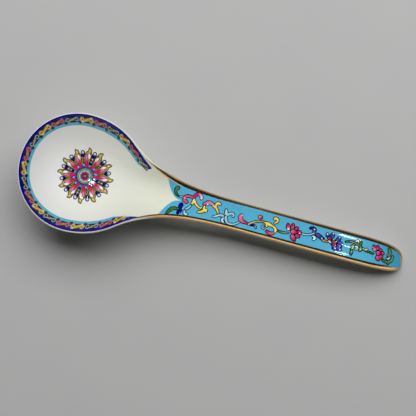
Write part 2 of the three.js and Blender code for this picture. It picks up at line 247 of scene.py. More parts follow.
def on_face(plan, lift):
    """Point above the upper face, from a point seen from above and a lift."""
    return lifted(*top_place(plan[..., 0], plan[..., 1]), lift)


def place_at(x):
    """Place of the edge at a distance along the spoon."""
    return np.interp(x, OUTLINE[:, 0], PLACES)


print("middle of the bowl is", skin(0.0, 0.0)[2], "mm above the table")

# %% [markdown]
# ## The camera
# The photograph looks almost straight down. Its place and lens were found by laying the outline of the spoon
# over the picture. With the same camera a pixel of the picture can be traced back to the upper face, and this
# is how the painted motifs of the handle find their places.

# %% Camera and tracing from a pixel
PHOTO_SIDE = 416
FOCAL_PIXELS = 705.83
SENSOR_MM = 36.0
CAMERA_AT = np.array([82.551, -6.765, 395.0])
CAMERA_TURN = Euler((0.0248, 0.0226, 0.2660))
RAY_STEPS = 8
ROSETTE_PIXEL = (84.8, 176.2)

camera = bpy.data.objects.new("camera", bpy.data.cameras.new("camera"))
camera.location = CAMERA_AT * MM
camera.rotation_euler = CAMERA_TURN
camera.data.sensor_width = SENSOR_MM
camera.data.lens = FOCAL_PIXELS / PHOTO_SIDE * SENSOR_MM
camera.data.clip_start = 0.01
scene.collection.objects.link(camera)
scene.camera = camera


def from_photo(pixels):
    """Points of the upper face, seen from above, behind pixels: each ray is followed to the face's height."""
    pixel = np.asarray(pixels, float)
    half = PHOTO_SIDE / 2
    ray = np.stack([pixel[..., 0] - half, half - pixel[..., 1], 0 * pixel[..., 0] - FOCAL_PIXELS], -1)
    ray = ray @ np.array(CAMERA_TURN.to_matrix()).T
    height = np.full(pixel.shape[:-1], RIM_HEIGHT)
    for _ in range(RAY_STEPS):
        plan = CAMERA_AT[:2] + ray[..., :2] * ((height - CAMERA_AT[2]) / ray[..., 2])[..., None]
        height = skin(*top_place(plan[..., 0], plan[..., 1]))[..., 2]
    return plan


print("rosette's middle in the picture lies at", from_photo([ROSETTE_PIXEL])[0].round(1), "mm")

# %% [markdown]
# ## Making meshes and materials
# Every surface below is an array of points. One function turns such arrays into a closed mesh that rides on
# the spoon. One more adds a node to a material, and colours are written as they are seen on a screen.

# %% Helpers for meshes
WELD = 2e-7
CRISP = np.radians(50)


def grid_faces(shape, loop, ring):
    """Corner numbers of four-sided faces on grids of the form sheet, along, around.

    A loop joins the last row along to the first, and a ring joins the last point around to the first.
    """
    number = np.arange(np.prod(shape)).reshape(shape)
    number = np.concatenate([number, number[:, :1]], 1) if loop else number
    number = np.concatenate([number, number[:, :, :1]], 2) if ring else number
    corners = [number[:, :-1, :-1], number[:, :-1, 1:], number[:, 1:, 1:], number[:, 1:, :-1]]
    return np.stack(corners, -1).reshape(-1, 4)


def make_piece(name, points, material, replaces=(), loop=False, ring=True, pale=None, uv=None):
    """Closed mesh from grids of points in millimetres, of the form sheet, along, around, xyz.

    Points that fall together are welded, and a shell whose faces look inwards is turned round.
    """
    mesh = bpy.data.meshes.new(name)
    faces = grid_faces(points.shape[:3], loop, ring)
    mesh.from_pydata((points.reshape(-1, 3) * MM).tolist(), [], faces.tolist())
    if pale is not None:
        stored = mesh.attributes.new("pale", "FLOAT", "POINT")
        stored.data.foreach_set("value", np.ravel(pale).astype(np.float32))
    if uv is not None:
        corner = np.zeros(len(mesh.loops), np.int32)
        mesh.loops.foreach_get("vertex_index", corner)
        layer = mesh.uv_layers.new(name="UVMap")
        layer.data.foreach_set("uv", uv.reshape(-1, 2)[corner].astype(np.float32).ravel())
    shell = bmesh.new()
    shell.from_mesh(mesh)
    bmesh.ops.remove_doubles(shell, verts=shell.verts, dist=WELD)
    if shell.calc_volume(signed=True) < 0:
        bmesh.ops.reverse_faces(shell, faces=shell.faces)
    open_edges = sum(not edge.is_manifold for edge in shell.edges)
    volume = shell.calc_volume(signed=True) / MM ** 3
    shell.to_mesh(mesh)
    shell.free()
    mesh.shade_smooth()
    mesh.set_sharp_from_angle(angle=CRISP)
    mesh.materials.append(material)
    piece = bpy.data.objects.new(name, mesh)
    scene.collection.objects.link(piece)
    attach(piece, "root")
    if replaces:
        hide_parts(*replaces)
    print(f"{name}: {len(mesh.polygons)} faces, {volume:.2f} cubic mm, open edges {open_edges}")
    return piece


# %% Helpers for materials
MIX_FACTOR, MIX_A, MIX_B, MIX_RESULT = 0, 6, 7, 2


def linear(hex_colour):
    """Linear colour with full alpha from a screen colour such as #aabbcc."""
    part = np.array([int(hex_colour[i:i + 2], 16) for i in (1, 3, 5)]) / 255
    straight = np.where(part <= 0.04045, part / 12.92, ((part + 0.055) / 1.055) ** 2.4)
    return (*straight.tolist(), 1.0)


def plug(tree, node, inputs):
    """Sets inputs of a node, each to a value or to another node's output."""
    for name, value in inputs.items():
        if isinstance(value, bpy.types.NodeSocket):
            tree.links.new(value, node.inputs[name])
        else:
            node.inputs[name].default_value = value


def add(tree, kind, inputs=None, **settings):
    """Adds a node with its settings and inputs."""
    node = tree.nodes.new(kind)
    for name, value in settings.items():
        setattr(node, name, value)
    plug(tree, node, inputs or {})
    return node


def new_material(name):
    """A material with its node tree, its surface shader and a node that gives coordinates."""
    material = bpy.data.materials.new(name)
    material.use_nodes = True
    tree = material.node_tree
    return material, tree, tree.nodes["Principled BSDF"], add(tree, "ShaderNodeTexCoord")


def per_mm(size):
    """Texture scale at which one feature measures this many millimetres."""
    return 1 / (size * MM)


# %% [markdown]
# ## The china body
# Bone china is fired white and almost glassy, then dipped in a clear glaze. The body is one grid of skin
# points: places round the edge by ways from the top's middle line over the lip to the middle line below. The
# underside is ground flat where the spoon stands, so heights below the table are moved up to it. The glaze
# gives sharp reflections over a soft white, and it isn't quite even, which bends those reflections.

# %% Glazed bone china
def glazed_bone_china():
    """White body under clear glaze.

    The eye sees a white that warms to the neck, a wavy gloss, a few specks and a dull foot.
    """
    material, tree, shader, where = new_material("glazed_bone_china")
    spot = where.outputs["Object"]
    cloud = add(tree, "ShaderNodeTexNoise", {"Vector": spot, "Scale": per_mm(34), "Detail": 2.0})
    clouded = add(tree, "ShaderNodeMix", {MIX_FACTOR: cloud.outputs["Fac"], MIX_A: linear("#dfe0df"),
                                          MIX_B: linear("#e7e7e3")}, data_type="RGBA")
    place = add(tree, "ShaderNodeSeparateXYZ", {"Vector": spot})
    neck = add(tree, "ShaderNodeMapRange", {"Value": place.outputs["X"], "From Min": -15 * MM,
                                            "From Max": 45 * MM})
    body = add(tree, "ShaderNodeMix", {MIX_FACTOR: neck.outputs["Result"], MIX_A: clouded.outputs[MIX_RESULT],
                                       MIX_B: linear("#dfe1d0")}, data_type="RGBA")
    speck = add(tree, "ShaderNodeTexNoise", {"Vector": spot, "Scale": per_mm(0.9), "Detail": 1.0})
    dark = add(tree, "ShaderNodeMapRange", {"Value": speck.outputs["Fac"], "From Min": 0.72, "From Max": 0.82,
                                            "To Max": 0.35})
    dusted = add(tree, "ShaderNodeMix", {MIX_FACTOR: dark.outputs["Result"], MIX_A: body.outputs[MIX_RESULT],
                                         MIX_B: linear("#b9b2a2")}, data_type="RGBA")
    ground = add(tree, "ShaderNodeMapRange", {"Value": place.outputs["Z"], "From Min": 0.02 * MM,
                                              "From Max": 0.2 * MM, "To Min": 0.55, "To Max": 0.1})
    wave = add(tree, "ShaderNodeTexNoise", {"Vector": spot, "Scale": per_mm(7), "Detail": 1.5})
    bump = add(tree, "ShaderNodeBump", {"Height": wave.outputs["Fac"], "Strength": 0.3, "Distance": 0.1 * MM})
    plug(tree, shader, {
        "Base Color": dusted.outputs[MIX_RESULT], "Roughness": ground.outputs["Result"],
        "Normal": bump.outputs["Normal"], "IOR": 1.55, "Subsurface Weight": 0.15,
        "Subsurface Radius": (1.0, 0.9, 0.75), "Subsurface Scale": 1.5 * MM,
    })
    return material


# %% Body on a grid of places and ways
ROUND_PLACES = 560
TOP_WAYS, LIP_WAYS, UNDER_WAYS = 46, 14, 40


def china_body():
    """Grid of skin points, cut flat at the table by taking the greater of height and 0."""
    place = np.linspace(-1, 1, ROUND_PLACES, endpoint=False)
    ways = np.concatenate([
        np.linspace(0, 1, TOP_WAYS, endpoint=False), np.linspace(1, 2, LIP_WAYS, endpoint=False),
        np.linspace(2, 3, UNDER_WAYS)])
    points = skin(*np.meshgrid(place, ways, indexing="ij"))
    points[..., 2] = np.maximum(points[..., 2], 0)
    return points[None]


make_piece("spoon_china", china_body(), glazed_bone_china(), ["china_body"], loop=True, ring=False)

# %% [markdown]
# ## Enamel
# Enamel is coloured glass, ground fine, painted on the glaze and melted. It pools a little, so its colour is
# deeper in some spots than in others, and where the painter thinned it the white shows through. A number
# stored on each point, called pale, says how far a stroke has gone pale. On the turquoise panel the same
# number holds painted shade, which darkens the drooping tip.

# %% Painted enamel
def enamel(name, deep, bright, fade_and_shade_tone=None, pool=0.9, gloss=0.5):
    """Melted colour.

    The eye sees a soft gloss over a tone that pools from deep to bright, and that may fade to a third tone:
    mostly a paler one, but on the turquoise a darker one, which is painted shade at the drooping tip.
    """
    material, tree, shader, where = new_material(f"{name}_enamel")
    pooling = add(tree, "ShaderNodeTexNoise", {"Vector": where.outputs["Object"], "Scale": per_mm(pool),
                                               "Detail": 2.0})
    spread = add(tree, "ShaderNodeMapRange", {"Value": pooling.outputs["Fac"], "From Min": 0.3,
                                              "From Max": 0.7})
    tone = add(tree, "ShaderNodeMix", {MIX_FACTOR: spread.outputs["Result"], MIX_A: linear(deep),
                                       MIX_B: linear(bright)}, data_type="RGBA")
    fade = add(tree, "ShaderNodeAttribute", attribute_name="pale")
    colour = add(tree, "ShaderNodeMix", {MIX_FACTOR: fade.outputs["Fac"], MIX_A: tone.outputs[MIX_RESULT],
                                         MIX_B: linear(fade_and_shade_tone or bright)}, data_type="RGBA")
    bump = add(tree, "ShaderNodeBump", {"Height": pooling.outputs["Fac"], "Strength": 0.12,
                                        "Distance": 0.02 * MM})
    plug(tree, shader, {"Base Color": colour.outputs[MIX_RESULT], "Normal": bump.outputs["Normal"],
                        "Roughness": 0.07, "Specular IOR Level": gloss})
    return material


# The turquoise's third tone is darker: painted shade for the drooping tip of the handle panel.
TURQUOISE = enamel("turquoise", "#48a3c8", "#5cb4d1", "#3a92b5", pool=0.7)
COBALT = enamel("cobalt", "#01016a", "#050a92", "#e8ecf6", gloss=0.25)
NAVY_LINE = enamel("navy_outline", "#04061c", "#0b0f34")
ROSE = enamel("rose", "#b4155a", "#cc2f76", "#f6dbe6")
GOLDEN = enamel("golden_yellow", "#e3b52c", "#f7dc58", "#fbf0b4")
LEAF_GREEN = enamel("leaf_green", "#1f5230", "#4b8038", "#cfe3cd")
OLIVE = enamel("olive_gold", "#8a7a2c", "#b9a64a", "#e8ddb0")
SKY = enamel("pale_blue", "#84bcd0", "#a0cfde", "#dcecf2")
MINT = enamel("mint", "#7fae98", "#a3c6b4", "#eef5f2")

# %% [markdown]
# ## Strokes of the brush
# A painted scroll is a stroke: it follows a curved path, is wide in the head and thin in the tail, and stands
# a hair above the glaze. A curve object with a bevel could do that, but it can't lie on a hollow bowl. Here a
# flat profile is carried along the path in the plane, and then every point is laid on the face.

# %% Strokes as arrays
SUNK, END_RISE = 0.06, 4
PATH_STEPS, FINE_STEPS = 26, 24
ACROSS = np.array([-1, -0.9, -0.45, 0, 0.45, 0.9, 1])
RAISED = np.array([0, 1, 1, 1, 1, 1, 0])


def smooth_path(points, grow, steps):
    """Points along a smooth curve through a few given ones, and how far along each lies, in millimetres.

    A Catmull-Rom curve, lengthened at both ends, walked by length with closer steps at the ends.
    """
    given = np.array(points, float)
    start, end = given[0] - given[1], given[-1] - given[-2]
    given[0] = given[0] + start / np.hypot(*start) * grow
    given[-1] = given[-1] + end / np.hypot(*end) * grow
    held = np.vstack([2 * given[0] - given[1], given, 2 * given[-1] - given[-2]])
    t = np.linspace(0, len(given) - 1, FINE_STEPS * len(given))
    i = np.minimum(t.astype(int), len(given) - 2)
    f = (t - i)[:, None]
    a, b, c, d = held[i], held[i + 1], held[i + 2], held[i + 3]
    fine = b + 0.5 * f * (c - a + f * (2 * a - 5 * b + 4 * c - d + f * (3 * (b - c) + d - a)))
    length = walked_length(fine)
    walked = length[-1] * (1 - np.cos(np.linspace(0, np.pi, steps))) / 2
    return np.stack([np.interp(walked, length, fine[:, k]) for k in (0, 1)], -1), walked


def stroke(points, widths, pale=(0, 0), grow=0.0, level=0.13, crown=0.05, steps=PATH_STEPS):
    """One stroke: plan points, lifts and paleness, each of the form along, around.

    Half widths at head, middle and tail are joined smoothly, and both ends are rounded as a circle is. The
    profile is a low dome on upright sides, and it sinks into the glaze at the two ends.
    """
    line, walked = smooth_path(points, grow, steps)
    share = walked / walked[-1]
    head, middle, tail = widths
    half = grow + np.where(share < 0.5, lerp(head, middle, smoothstep(share, 0, 0.5)),
                           lerp(middle, tail, smoothstep(share, 0.5, 1)))
    to_end = np.clip(np.minimum(walked, walked[-1] - walked) / half, 0, 1)
    rounded = np.sqrt(1 - (1 - to_end) ** 2)
    ahead = np.gradient(line, axis=0)
    ahead /= np.linalg.norm(ahead, axis=1, keepdims=True)
    side = np.stack([-ahead[:, 1], ahead[:, 0]], -1)
    plan = line[:, None] + side[:, None] * (half * rounded)[:, None, None] * ACROSS[None, :, None]
    height = (level + crown * (1 - ACROSS ** 2) + SUNK) * RAISED
    lift = np.minimum(1, END_RISE * rounded)[:, None] * height[None] - SUNK
    fade = np.clip(lerp(pale[0], pale[1], smoothstep(share, 0, 1)), 0, 1)
    fade = np.repeat(fade[:, None], len(ACROSS), 1)
    return plan, lift, fade


def lay_strokes(name, strokes, material, replaces=(), lay=on_face):
    """One piece from many finished strokes, laid on the face by a function of plan point and lift."""
    plan, lift, fade = [np.stack(part) for part in zip(*strokes)]
    return make_piece(name, lay(plan, lift), material, replaces, pale=fade)


def paint(name, strokes, material, slot, replaces=(), lay=on_face, **looks):
    """One piece from many strokes of a colour that share their looks."""
    return lay_strokes(name, [stroke(*given, **looks) for given in strokes], material, replaces, lay)


# %% [markdown]
# ## The border of the bowl
# Inside the white lip runs a cobalt line, then a row of little double scrolls, then a turquoise line. On the
# real spoon the scrolls are printed over both lines, so the two lines meet underneath them. Border places are
# measured along the rim and inwards from the lip, which makes each scroll the same drawing again.

# %% Places in the border
COBALT_WIDTH, SCROLL_WIDTH, TURQUOISE_WIDTH = 1.15, 2.9, 1.55
BORDER_END = 37.5
BORDER_DEPTH = COBALT_WIDTH + SCROLL_WIDTH + TURQUOISE_WIDTH
SCROLL_MIDDLE = COBALT_WIDTH + SCROLL_WIDTH / 2


def inset_way(place, inset):
    """Way round the skin at a distance inwards from the lip's inner edge, seen from above."""
    s = spoke(place)
    return 1 - inset / (s["reach"] - s["lip"])


RIM_STEPS = 1201
RIM_PLACES = np.linspace(-1, 1, RIM_STEPS) * place_at(BORDER_END)
RIM_LINE = skin(RIM_PLACES, inset_way(RIM_PLACES, SCROLL_MIDDLE))[:, :2]
RIM_LENGTH = walked_length(RIM_LINE)
RIM_LENGTH -= RIM_LENGTH[-1] / 2
BORDER_HALF = RIM_LENGTH[-1]
FRONT_SHARE, FRONT_START, FRONT_END = 0.77, 12.0, 50.0
NEAR_SHARE, NEAR_START = 0.64, 68.0
FAR_GAP, FAR_GAP_START, LIP_COVER = 2.0, 60.0, 0.3
print("border runs", round(2 * BORDER_HALF, 1), "mm round the bowl")


def on_border(spot, lift):
    """Point above the border, from millimetres along the rim and inwards, and a lift.

    The wall is steepest at the front, so the border looks narrower there from above. It narrows to its near
    end too, and its far end turns away from the lip with the square of the distance. Its outer edge lies on
    the rounding of the lip.
    """
    along, depth = spot[..., 0], spot[..., 1]
    place = np.interp(along, RIM_LENGTH, RIM_PLACES)
    front = lerp(FRONT_SHARE, 1, smoothstep(np.abs(along), FRONT_START, FRONT_END))
    near = lerp(1, NEAR_SHARE, smoothstep(-along, NEAR_START, BORDER_HALF))
    gap = FAR_GAP * np.clip((along - FAR_GAP_START) / (BORDER_HALF - FAR_GAP_START), 0, 1) ** 2
    inset = gap + front * near * depth - LIP_COVER
    way = np.where(inset < 0, 1 - inset / spoke(place)["lip"], inset_way(place, inset))
    return lifted(place, way, lift)


# %% Cobalt and turquoise lines
NEAR_TAPER, FAR_TAPER, TAPER_POWER = 16.0, 9.0, 0.6
BAND_LEVEL, BAND_STEPS = 0.05, 420


def edged(close, inner, steps):
    """Shares from 0 to 1: even steps inside, and one close to either end for a crisp edge."""
    return np.concatenate([[0, close], np.linspace(inner, 1 - inner, steps), [1 - close, 1]])


def inside(share):
    """True between the two ends."""
    return (share > 0) & (share < 1)


def coat(spot, raised, level, lay):
    """Closed thin coat: an upper sheet and a lower one in the glaze, which meet where raised is 0."""
    upper = lay(spot, (level + SUNK) * raised - SUNK)
    lower = lay(spot[:, ::-1], np.full(raised.shape, -SUNK))
    return np.concatenate([upper, lower], 1)[None]


def border_band(outer, inner):
    """Band between two depths, which narrows to a point at both ends as the border does."""
    whole = (outer / BORDER_DEPTH) ** (1 / TAPER_POWER)
    eased = (1 + np.sin(np.linspace(-np.pi / 2, np.pi / 2, BAND_STEPS))) / 2
    along = lerp(NEAR_TAPER * whole - BORDER_HALF, BORDER_HALF - FAR_TAPER * whole, eased)
    taper = np.where(along < 0, NEAR_TAPER, FAR_TAPER)
    deepest = BORDER_DEPTH * np.clip((BORDER_HALF - np.abs(along)) / taper, 0, 1) ** TAPER_POWER
    deepest[[0, -1]] = outer
    across = edged(close=0.02, inner=0.08, steps=5)
    depth = lerp(outer, np.minimum(inner, deepest)[:, None], across[None])
    spot = np.stack([np.broadcast_to(along[:, None], depth.shape), depth], -1)
    raised = inside(eased)[:, None] & inside(across)[None]
    return coat(spot, raised.astype(float), BAND_LEVEL, on_border)


make_piece("border_cobalt_line", border_band(0, SCROLL_MIDDLE), COBALT, ["rim_cobalt_band"])
make_piece("border_turquoise_line", border_band(SCROLL_MIDDLE, BORDER_DEPTH), TURQUOISE,
           ["rim_turquoise_band"])

# %% One scroll
SCROLL_COUNT, SCROLL_PITCH, SCROLL_FIRST = 21, 7.75, 80.1
CURL_ASIDE, CURL_RADIUS, CURL_START = 2.3, 0.95, 0.75
CURL_TURN_DEG, CURL_POINTS = -255, 10
SCROLL_SWELL, SCROLL_STEPS = np.array([0.85, 1.4, 0.85]), 72


def scroll_at(number):
    """Middle of a scroll along the rim, counted from the far end of the border to the near end."""
    return SCROLL_FIRST - SCROLL_PITCH * number


def s_scroll(number, width):
    """An S that lies along the border: round one curl, through the middle, and the same turned half round."""
    turn = np.radians(np.linspace(0, CURL_TURN_DEG, CURL_POINTS))
    reach = CURL_RADIUS * np.linspace(CURL_START, 1, CURL_POINTS)
    curl = np.stack([reach * np.cos(turn) - CURL_ASIDE, reach * np.sin(turn)], -1)
    points = np.concatenate([curl, [(0, 0)], -curl[::-1]]) + (scroll_at(number), SCROLL_MIDDLE)
    return points, SCROLL_SWELL * width


def border_dab(number, depth=SCROLL_MIDDLE, aside=0, long=0.7, widths=(0.5, 0.6, 0.5)):
    """Short straight dab along the border, placed from a scroll's middle."""
    middle = scroll_at(number) + aside
    return [(middle - long, depth), (middle, depth), (middle + long, depth)], widths


def paint_border(name, strokes, material, slot="scroll_enamel", **looks):
    """Strokes laid on the border."""
    paint(f"border_{name}", strokes, material, slot, ["rim_scroll_band"], on_border, **looks)


# %% Border scrolls in three colours
# Two tones of the ground, two tones of the scroll and its half width
BORDER_COLOURS = {
    "blue": ("#060a30", "#10174c", "#87937c", "#b0b69a", 0.25),
    "rose": ("#34091c", "#4c1228", "#94485e", "#b46a7c", 0.47),
    "gold": ("#2c1d08", "#46300f", "#b08c38", "#d6bc66", 0.5),
}

for first, (colour, (dark, less_dark, low, high, width)) in enumerate(BORDER_COLOURS.items()):
    mine = range(first, SCROLL_COUNT, len(BORDER_COLOURS))
    ground = enamel(f"border_{colour}_ground", dark, less_dark)
    grounds = [border_dab(n, long=3.75, widths=(1.45, 1.7, 1.45)) for n in mine]
    paint_border(f"{colour}_ground", grounds, ground, level=0.09)
    bright = enamel(f"border_{colour}", low, high, pool=0.6)
    scrolls = [s_scroll(n, width) for n in mine]
    paint_border(f"{colour}_scrolls", scrolls, bright, steps=SCROLL_STEPS)

# %% Shines on the gold scrolls, beads on the others and leaves between
GOLD_NUMBERS = range(list(BORDER_COLOURS).index("gold"), SCROLL_COUNT, len(BORDER_COLOURS))
shines = [border_dab(n, SCROLL_MIDDLE - np.sign(aside) * CURL_RADIUS, aside, 0.5, (0.2, 0.24, 0.2))
          for n in GOLD_NUMBERS for aside in (-CURL_ASIDE, CURL_ASIDE)]
LIGHT_YELLOW = enamel("light_yellow", "#ead98c", "#f6ecb6")
paint_border("gold_shines", shines, LIGHT_YELLOW, level=0.2)
beads = [border_dab(n) for n in range(SCROLL_COUNT) if n not in GOLD_NUMBERS]
paint_border("beads", beads, OLIVE, level=0.19)
LEAF_OVERLAP = 0.1
LEAF_DEPTH = COBALT_WIDTH + SCROLL_WIDTH - LEAF_OVERLAP
leaves = [border_dab(n, LEAF_DEPTH, -SCROLL_PITCH / 2, 1.0, (0.65, 0.85, 0.65))
          for n in range(SCROLL_COUNT - 1)]
DARK_LEAF = enamel("dark_leaf", "#06180e", "#153a22")
paint_border("leaves", leaves, DARK_LEAF, "green_enamel")

# %% [markdown]
# ## The rosette
# Twelve petals stand round a small flower in the bottom of the bowl. They come in four groups of three: the
# outer petals of a group keep their crimson side towards its middle. Each petal is a pile of strokes: a dark
# outline, a gold leaf, a white patch, a crimson lens and a gold point. Between the petals hang drops.

# %% Turning strokes about the rosette's middle
PETAL_COUNT, PETAL_GROUP, ROSETTE_TURN_DEG = 12, 3, 6.0
PETAL_LEANS = (1.0, -0.9, -1.0, 1.0, 0.9, -1.0)
ROSETTE_MIDDLE = np.array([0.2, -0.6])
PETAL_REACH, PETAL_DRIFT = 15.4, np.array([0.95, 0.25])


def spun(points, turn_deg):
    """Points given as distance from the middle and distance aside, turned to a direction in the bowl.

    The painted flower isn't quite round: with the square of the distance, points drift towards the handle.
    """
    out, aside = np.asarray(points, float).T
    turn = np.radians(turn_deg)
    turned = [out * np.cos(turn) - aside * np.sin(turn), out * np.sin(turn) + aside * np.cos(turn)]
    return np.stack(turned, -1) + ROSETTE_MIDDLE + (out[:, None] / PETAL_REACH) ** 2 * PETAL_DRIFT


def petal_turn(number):
    """Direction of a petal in degrees, and of the gap after it at half numbers."""
    return ROSETTE_TURN_DEG + number * 360 / PETAL_COUNT


def petal_strokes(points, widths, pale=(0, 0)):
    """The same stroke on every petal: distances aside follow the lean of the petal in its group."""
    leans = [PETAL_LEANS[n % len(PETAL_LEANS)] for n in range(PETAL_COUNT)]
    return [(spun([(out, lean * aside) for out, aside in points], petal_turn(n)), widths, pale)
            for n, lean in enumerate(leans)]


def gap_strokes(points, widths, pale, numbers):
    """The same stroke in the gaps after some petals."""
    return [(spun(points, petal_turn(n + 0.5)), widths, pale) for n in numbers]


# %% Petals, as distances out and aside, half widths and paleness
petal_leaf = petal_strokes([(4.7, 0), (8.4, 0.1), (11.4, 0), (13.8, -0.45)], (0.8, 2.3, 1.45), (0, 0.4))
petal_point = petal_strokes([(13.0, -0.6), (14.2, -0.45), (15.5, 0.15)], (0.95, 0.9, 0.15), (0.2, 0.4))
petal_lens = petal_strokes([(4.9, -0.1), (8.4, 0.65), (12.0, 0.95)], (0.65, 0.95, 0.25), (-0.7, 0.7))
petal_patch = petal_strokes([(9.2, -0.7), (10.9, -0.6), (12.6, -0.25)], (0.25, 0.85, 0.45), (0.4, 1.2))
petal_side = petal_strokes([(7.4, -1.0), (9.4, -1.55), (11.6, -1.6)], (0.25, 0.28, 0.2), (0.2, 0.2))
petal_shine = petal_strokes([(13.2, -0.5), (14.0, -0.4), (14.8, -0.05)], (0.2, 0.36, 0.12), (0.2, 0.9))
petal_vein = petal_strokes([(11.9, -1.2), (12.7, -1.1), (13.5, -0.95)], (0.1, 0.2, 0.1))

PETAL_EDGE = enamel("petal_outline", "#1e1808", "#3c3016")
PETAL_GOLD = enamel("petal_gold", "#7c6a30", "#a8924e", "#c4ae62", pool=0.6)
PETAL_SHINE = enamel("petal_light_gold", "#c8b25a", "#dccb7c", "#e8dc9c")
BLUSH = enamel("petal_blush", "#9c5e72", "#b87a8c", "#f0e4ea")
CRIMSON = enamel("crimson", "#a8134e", "#c22b64", "#eeaac2")
CRIMSON_LINE = enamel("crimson_outline", "#3a0a1a", "#5a1028")
# Name, strokes, colour, width of the outline and level
PETAL_LAYERS = [
    ("outlines", petal_leaf, PETAL_EDGE, 0.36, 0.05), ("point_outlines", petal_point, PETAL_EDGE, 0.34, 0.05),
    ("gold_petals", petal_leaf, PETAL_GOLD, 0.0, 0.09), ("gold_points", petal_point, PETAL_GOLD, 0.0, 0.09),
    ("patch_lines", petal_patch, PETAL_EDGE, 0.18, 0.12), ("white_patches", petal_patch, BLUSH, 0.0, 0.15),
    ("lens_lines", petal_lens, CRIMSON_LINE, 0.24, 0.17), ("crimson", petal_lens, CRIMSON, 0.0, 0.2),
    ("side_lines", petal_side, PETAL_EDGE, 0.0, 0.14), ("gold_shines", petal_shine, PETAL_SHINE, 0.0, 0.14),
    ("veins", petal_vein, PETAL_EDGE, 0.0, 0.14),
]
for part, strokes, material, grow, level in PETAL_LAYERS:
    paint(f"rosette_{part}", strokes, material, "petal_enamel", ["rosette_petals"], grow=grow, level=level,
          crown=0.02)

# %% Drops and darts
DROP_NODES = [f"rosette_drop_{n + 1:02d}" for n in range(PETAL_COUNT)]
every_gap = range(PETAL_COUNT)
wide_gap = range(PETAL_GROUP - 1, PETAL_COUNT, PETAL_GROUP)
drops = gap_strokes([(11.0, 0), (12.7, 0), (13.9, 0)], (0.3, 0.72, 0.64), (-0.85, 1.0), every_gap)
drops += gap_strokes([(6.9, 0), (7.9, 0), (8.9, 0)], (0.5, 0.8, 0.66), (-0.9, 0.5), wide_gap)
darts = gap_strokes([(4.5, 0), (5.5, 0), (7.0, 0)], (0.9, 0.8, 0.2), (-0.8, 0.9), every_gap)
DROP_LINE = enamel("drop_outline", "#0c1024", "#1c2338")
DROP_BLUE = enamel("drop_blue", "#020472", "#0a1690", "#e2e6f4")
DART_BLUE = enamel("dart_blue", "#0f2f96", "#2a57b8", "#bfdcec")
# Name, strokes, colour, width of the outline, level and crown
DROP_LAYERS = [
    ("drop_outlines", drops, DROP_LINE, 0.5, 0.22, 0.0), ("drops", drops, DROP_BLUE, 0.0, 0.26, 0.06),
    ("dart_outlines", darts, DROP_LINE, 0.28, 0.12, 0.0), ("darts", darts, DART_BLUE, 0.0, 0.16, 0.04),
]
for part, strokes, material, grow, level, crown in DROP_LAYERS:
    paint(f"rosette_{part}", strokes, material, "cobalt_enamel", DROP_NODES, grow=grow, level=level,
          crown=crown)

# %% Ring round the middle
RING_RADIUS, RING_HALF, RING_CROWN, RING_STEPS = 3.75, 0.62, 0.03, 72
SHEEN_SHARE = 0.22


def bowl_ring(radius, half, level, crown):
    """Closed ring round the rosette's middle with a low domed profile."""
    turn = np.linspace(0, 2 * np.pi, RING_STEPS, endpoint=False)
    out = radius + half * ACROSS
    plan = np.stack([np.cos(turn)[:, None] * out, np.sin(turn)[:, None] * out], -1) + ROSETTE_MIDDLE
    lift = np.broadcast_to((level + crown * (1 - ACROSS ** 2) + SUNK) * RAISED - SUNK, plan.shape[:2])
    return on_face(plan, lift)[None]


RING_GREEN = enamel("ring_green", "#2c6440", "#4f8a5c", pool=2.4)
# A paler green, narrower ring runs along the crown of the green ring: a painted sheen.
SHEEN_GREEN = enamel("pale_green", "#6f9a7c", "#9dbba2", pool=2.4)
RINGS = [("green_ring", RING_HALF, 0.2, RING_GREEN), ("pale_ring", SHEEN_SHARE * RING_HALF, 0.24, SHEEN_GREEN)]
for part, half, level, material in RINGS:
    ring = bowl_ring(RING_RADIUS, half, level, RING_CROWN)
    make_piece(f"rosette_{part}", ring, material, ["rosette_ring"], loop=True)

# %% Flower in the middle
HEART_PETALS = 8
heart_turns = np.arange(HEART_PETALS) * 360 / HEART_PETALS


def heart_strokes(points, widths, pale, offset_deg=0):
    """The same stroke in eight directions round the middle."""
    return [(spun(points, turn + offset_deg), widths, pale) for turn in heart_turns]


MAROON = enamel("maroon", "#5c1030", "#802648", "#c07a98")
EYE_OLIVE = enamel("dull_olive", "#5c5034", "#7c6e4c", pool=0.5)
LILAC = enamel("lilac_ground", "#8f87a6", "#aaa2bc")
HEART_LAYERS = [
    ("ground", heart_strokes([(0.2, 0), (1.6, 0), (3.0, 0)], (0.3, 1.3, 1.2), (0, 0)), LILAC, 0.06),
    ("petals", heart_strokes([(0.5, 0), (1.6, 0), (2.7, 0)], (0.5, 0.9, 0.5), (0, 0.1)), MAROON, 0.12),
    ("dots", heart_strokes([(2.5, 0), (2.9, 0)], (0.22, 0.28, 0.22), (0, 0), 180 / HEART_PETALS), COBALT,
     0.14),
    ("eye", [(spun([(-0.3, 0), (0.3, 0)], 0), (0.75, 0.85, 0.75), (0, 0))], EYE_OLIVE, 0.2),
]
for part, strokes, material, level in HEART_LAYERS:
    paint(f"rosette_heart_{part}", strokes, material, "core_enamel", ["rosette_core"], level=level,
          crown=0.02)

# %% [markdown]
# ## The handle
# The top of the handle is turquoise, from two lobes at the neck to the tip. It is a coat whose grid runs from
# the start line to the tip and from edge to edge. Its colour is painted darker at the drooping tip: painted
# shade, as the tip turns away from the light. Scrolls, leaves and three lotus flowers are painted on it.
# Their places were picked from the picture, so each one is a short list of pixels that is traced onto the
# face.

# %% Turquoise panel
PANEL_POINT, PANEL_LOBE, PANEL_EDGE = 56.5, 9.5, 1.32
PANEL_LEVEL, PANEL_SHADE_START = 0.05, 158.0
PANEL_STEPS, EDGE_START, EDGE_FULL = 170, 0.02, 0.1


def on_skin(spot, lift):
    """Point above the skin, from a place and a way round."""
    return lifted(spot[..., 0], spot[..., 1], lift)


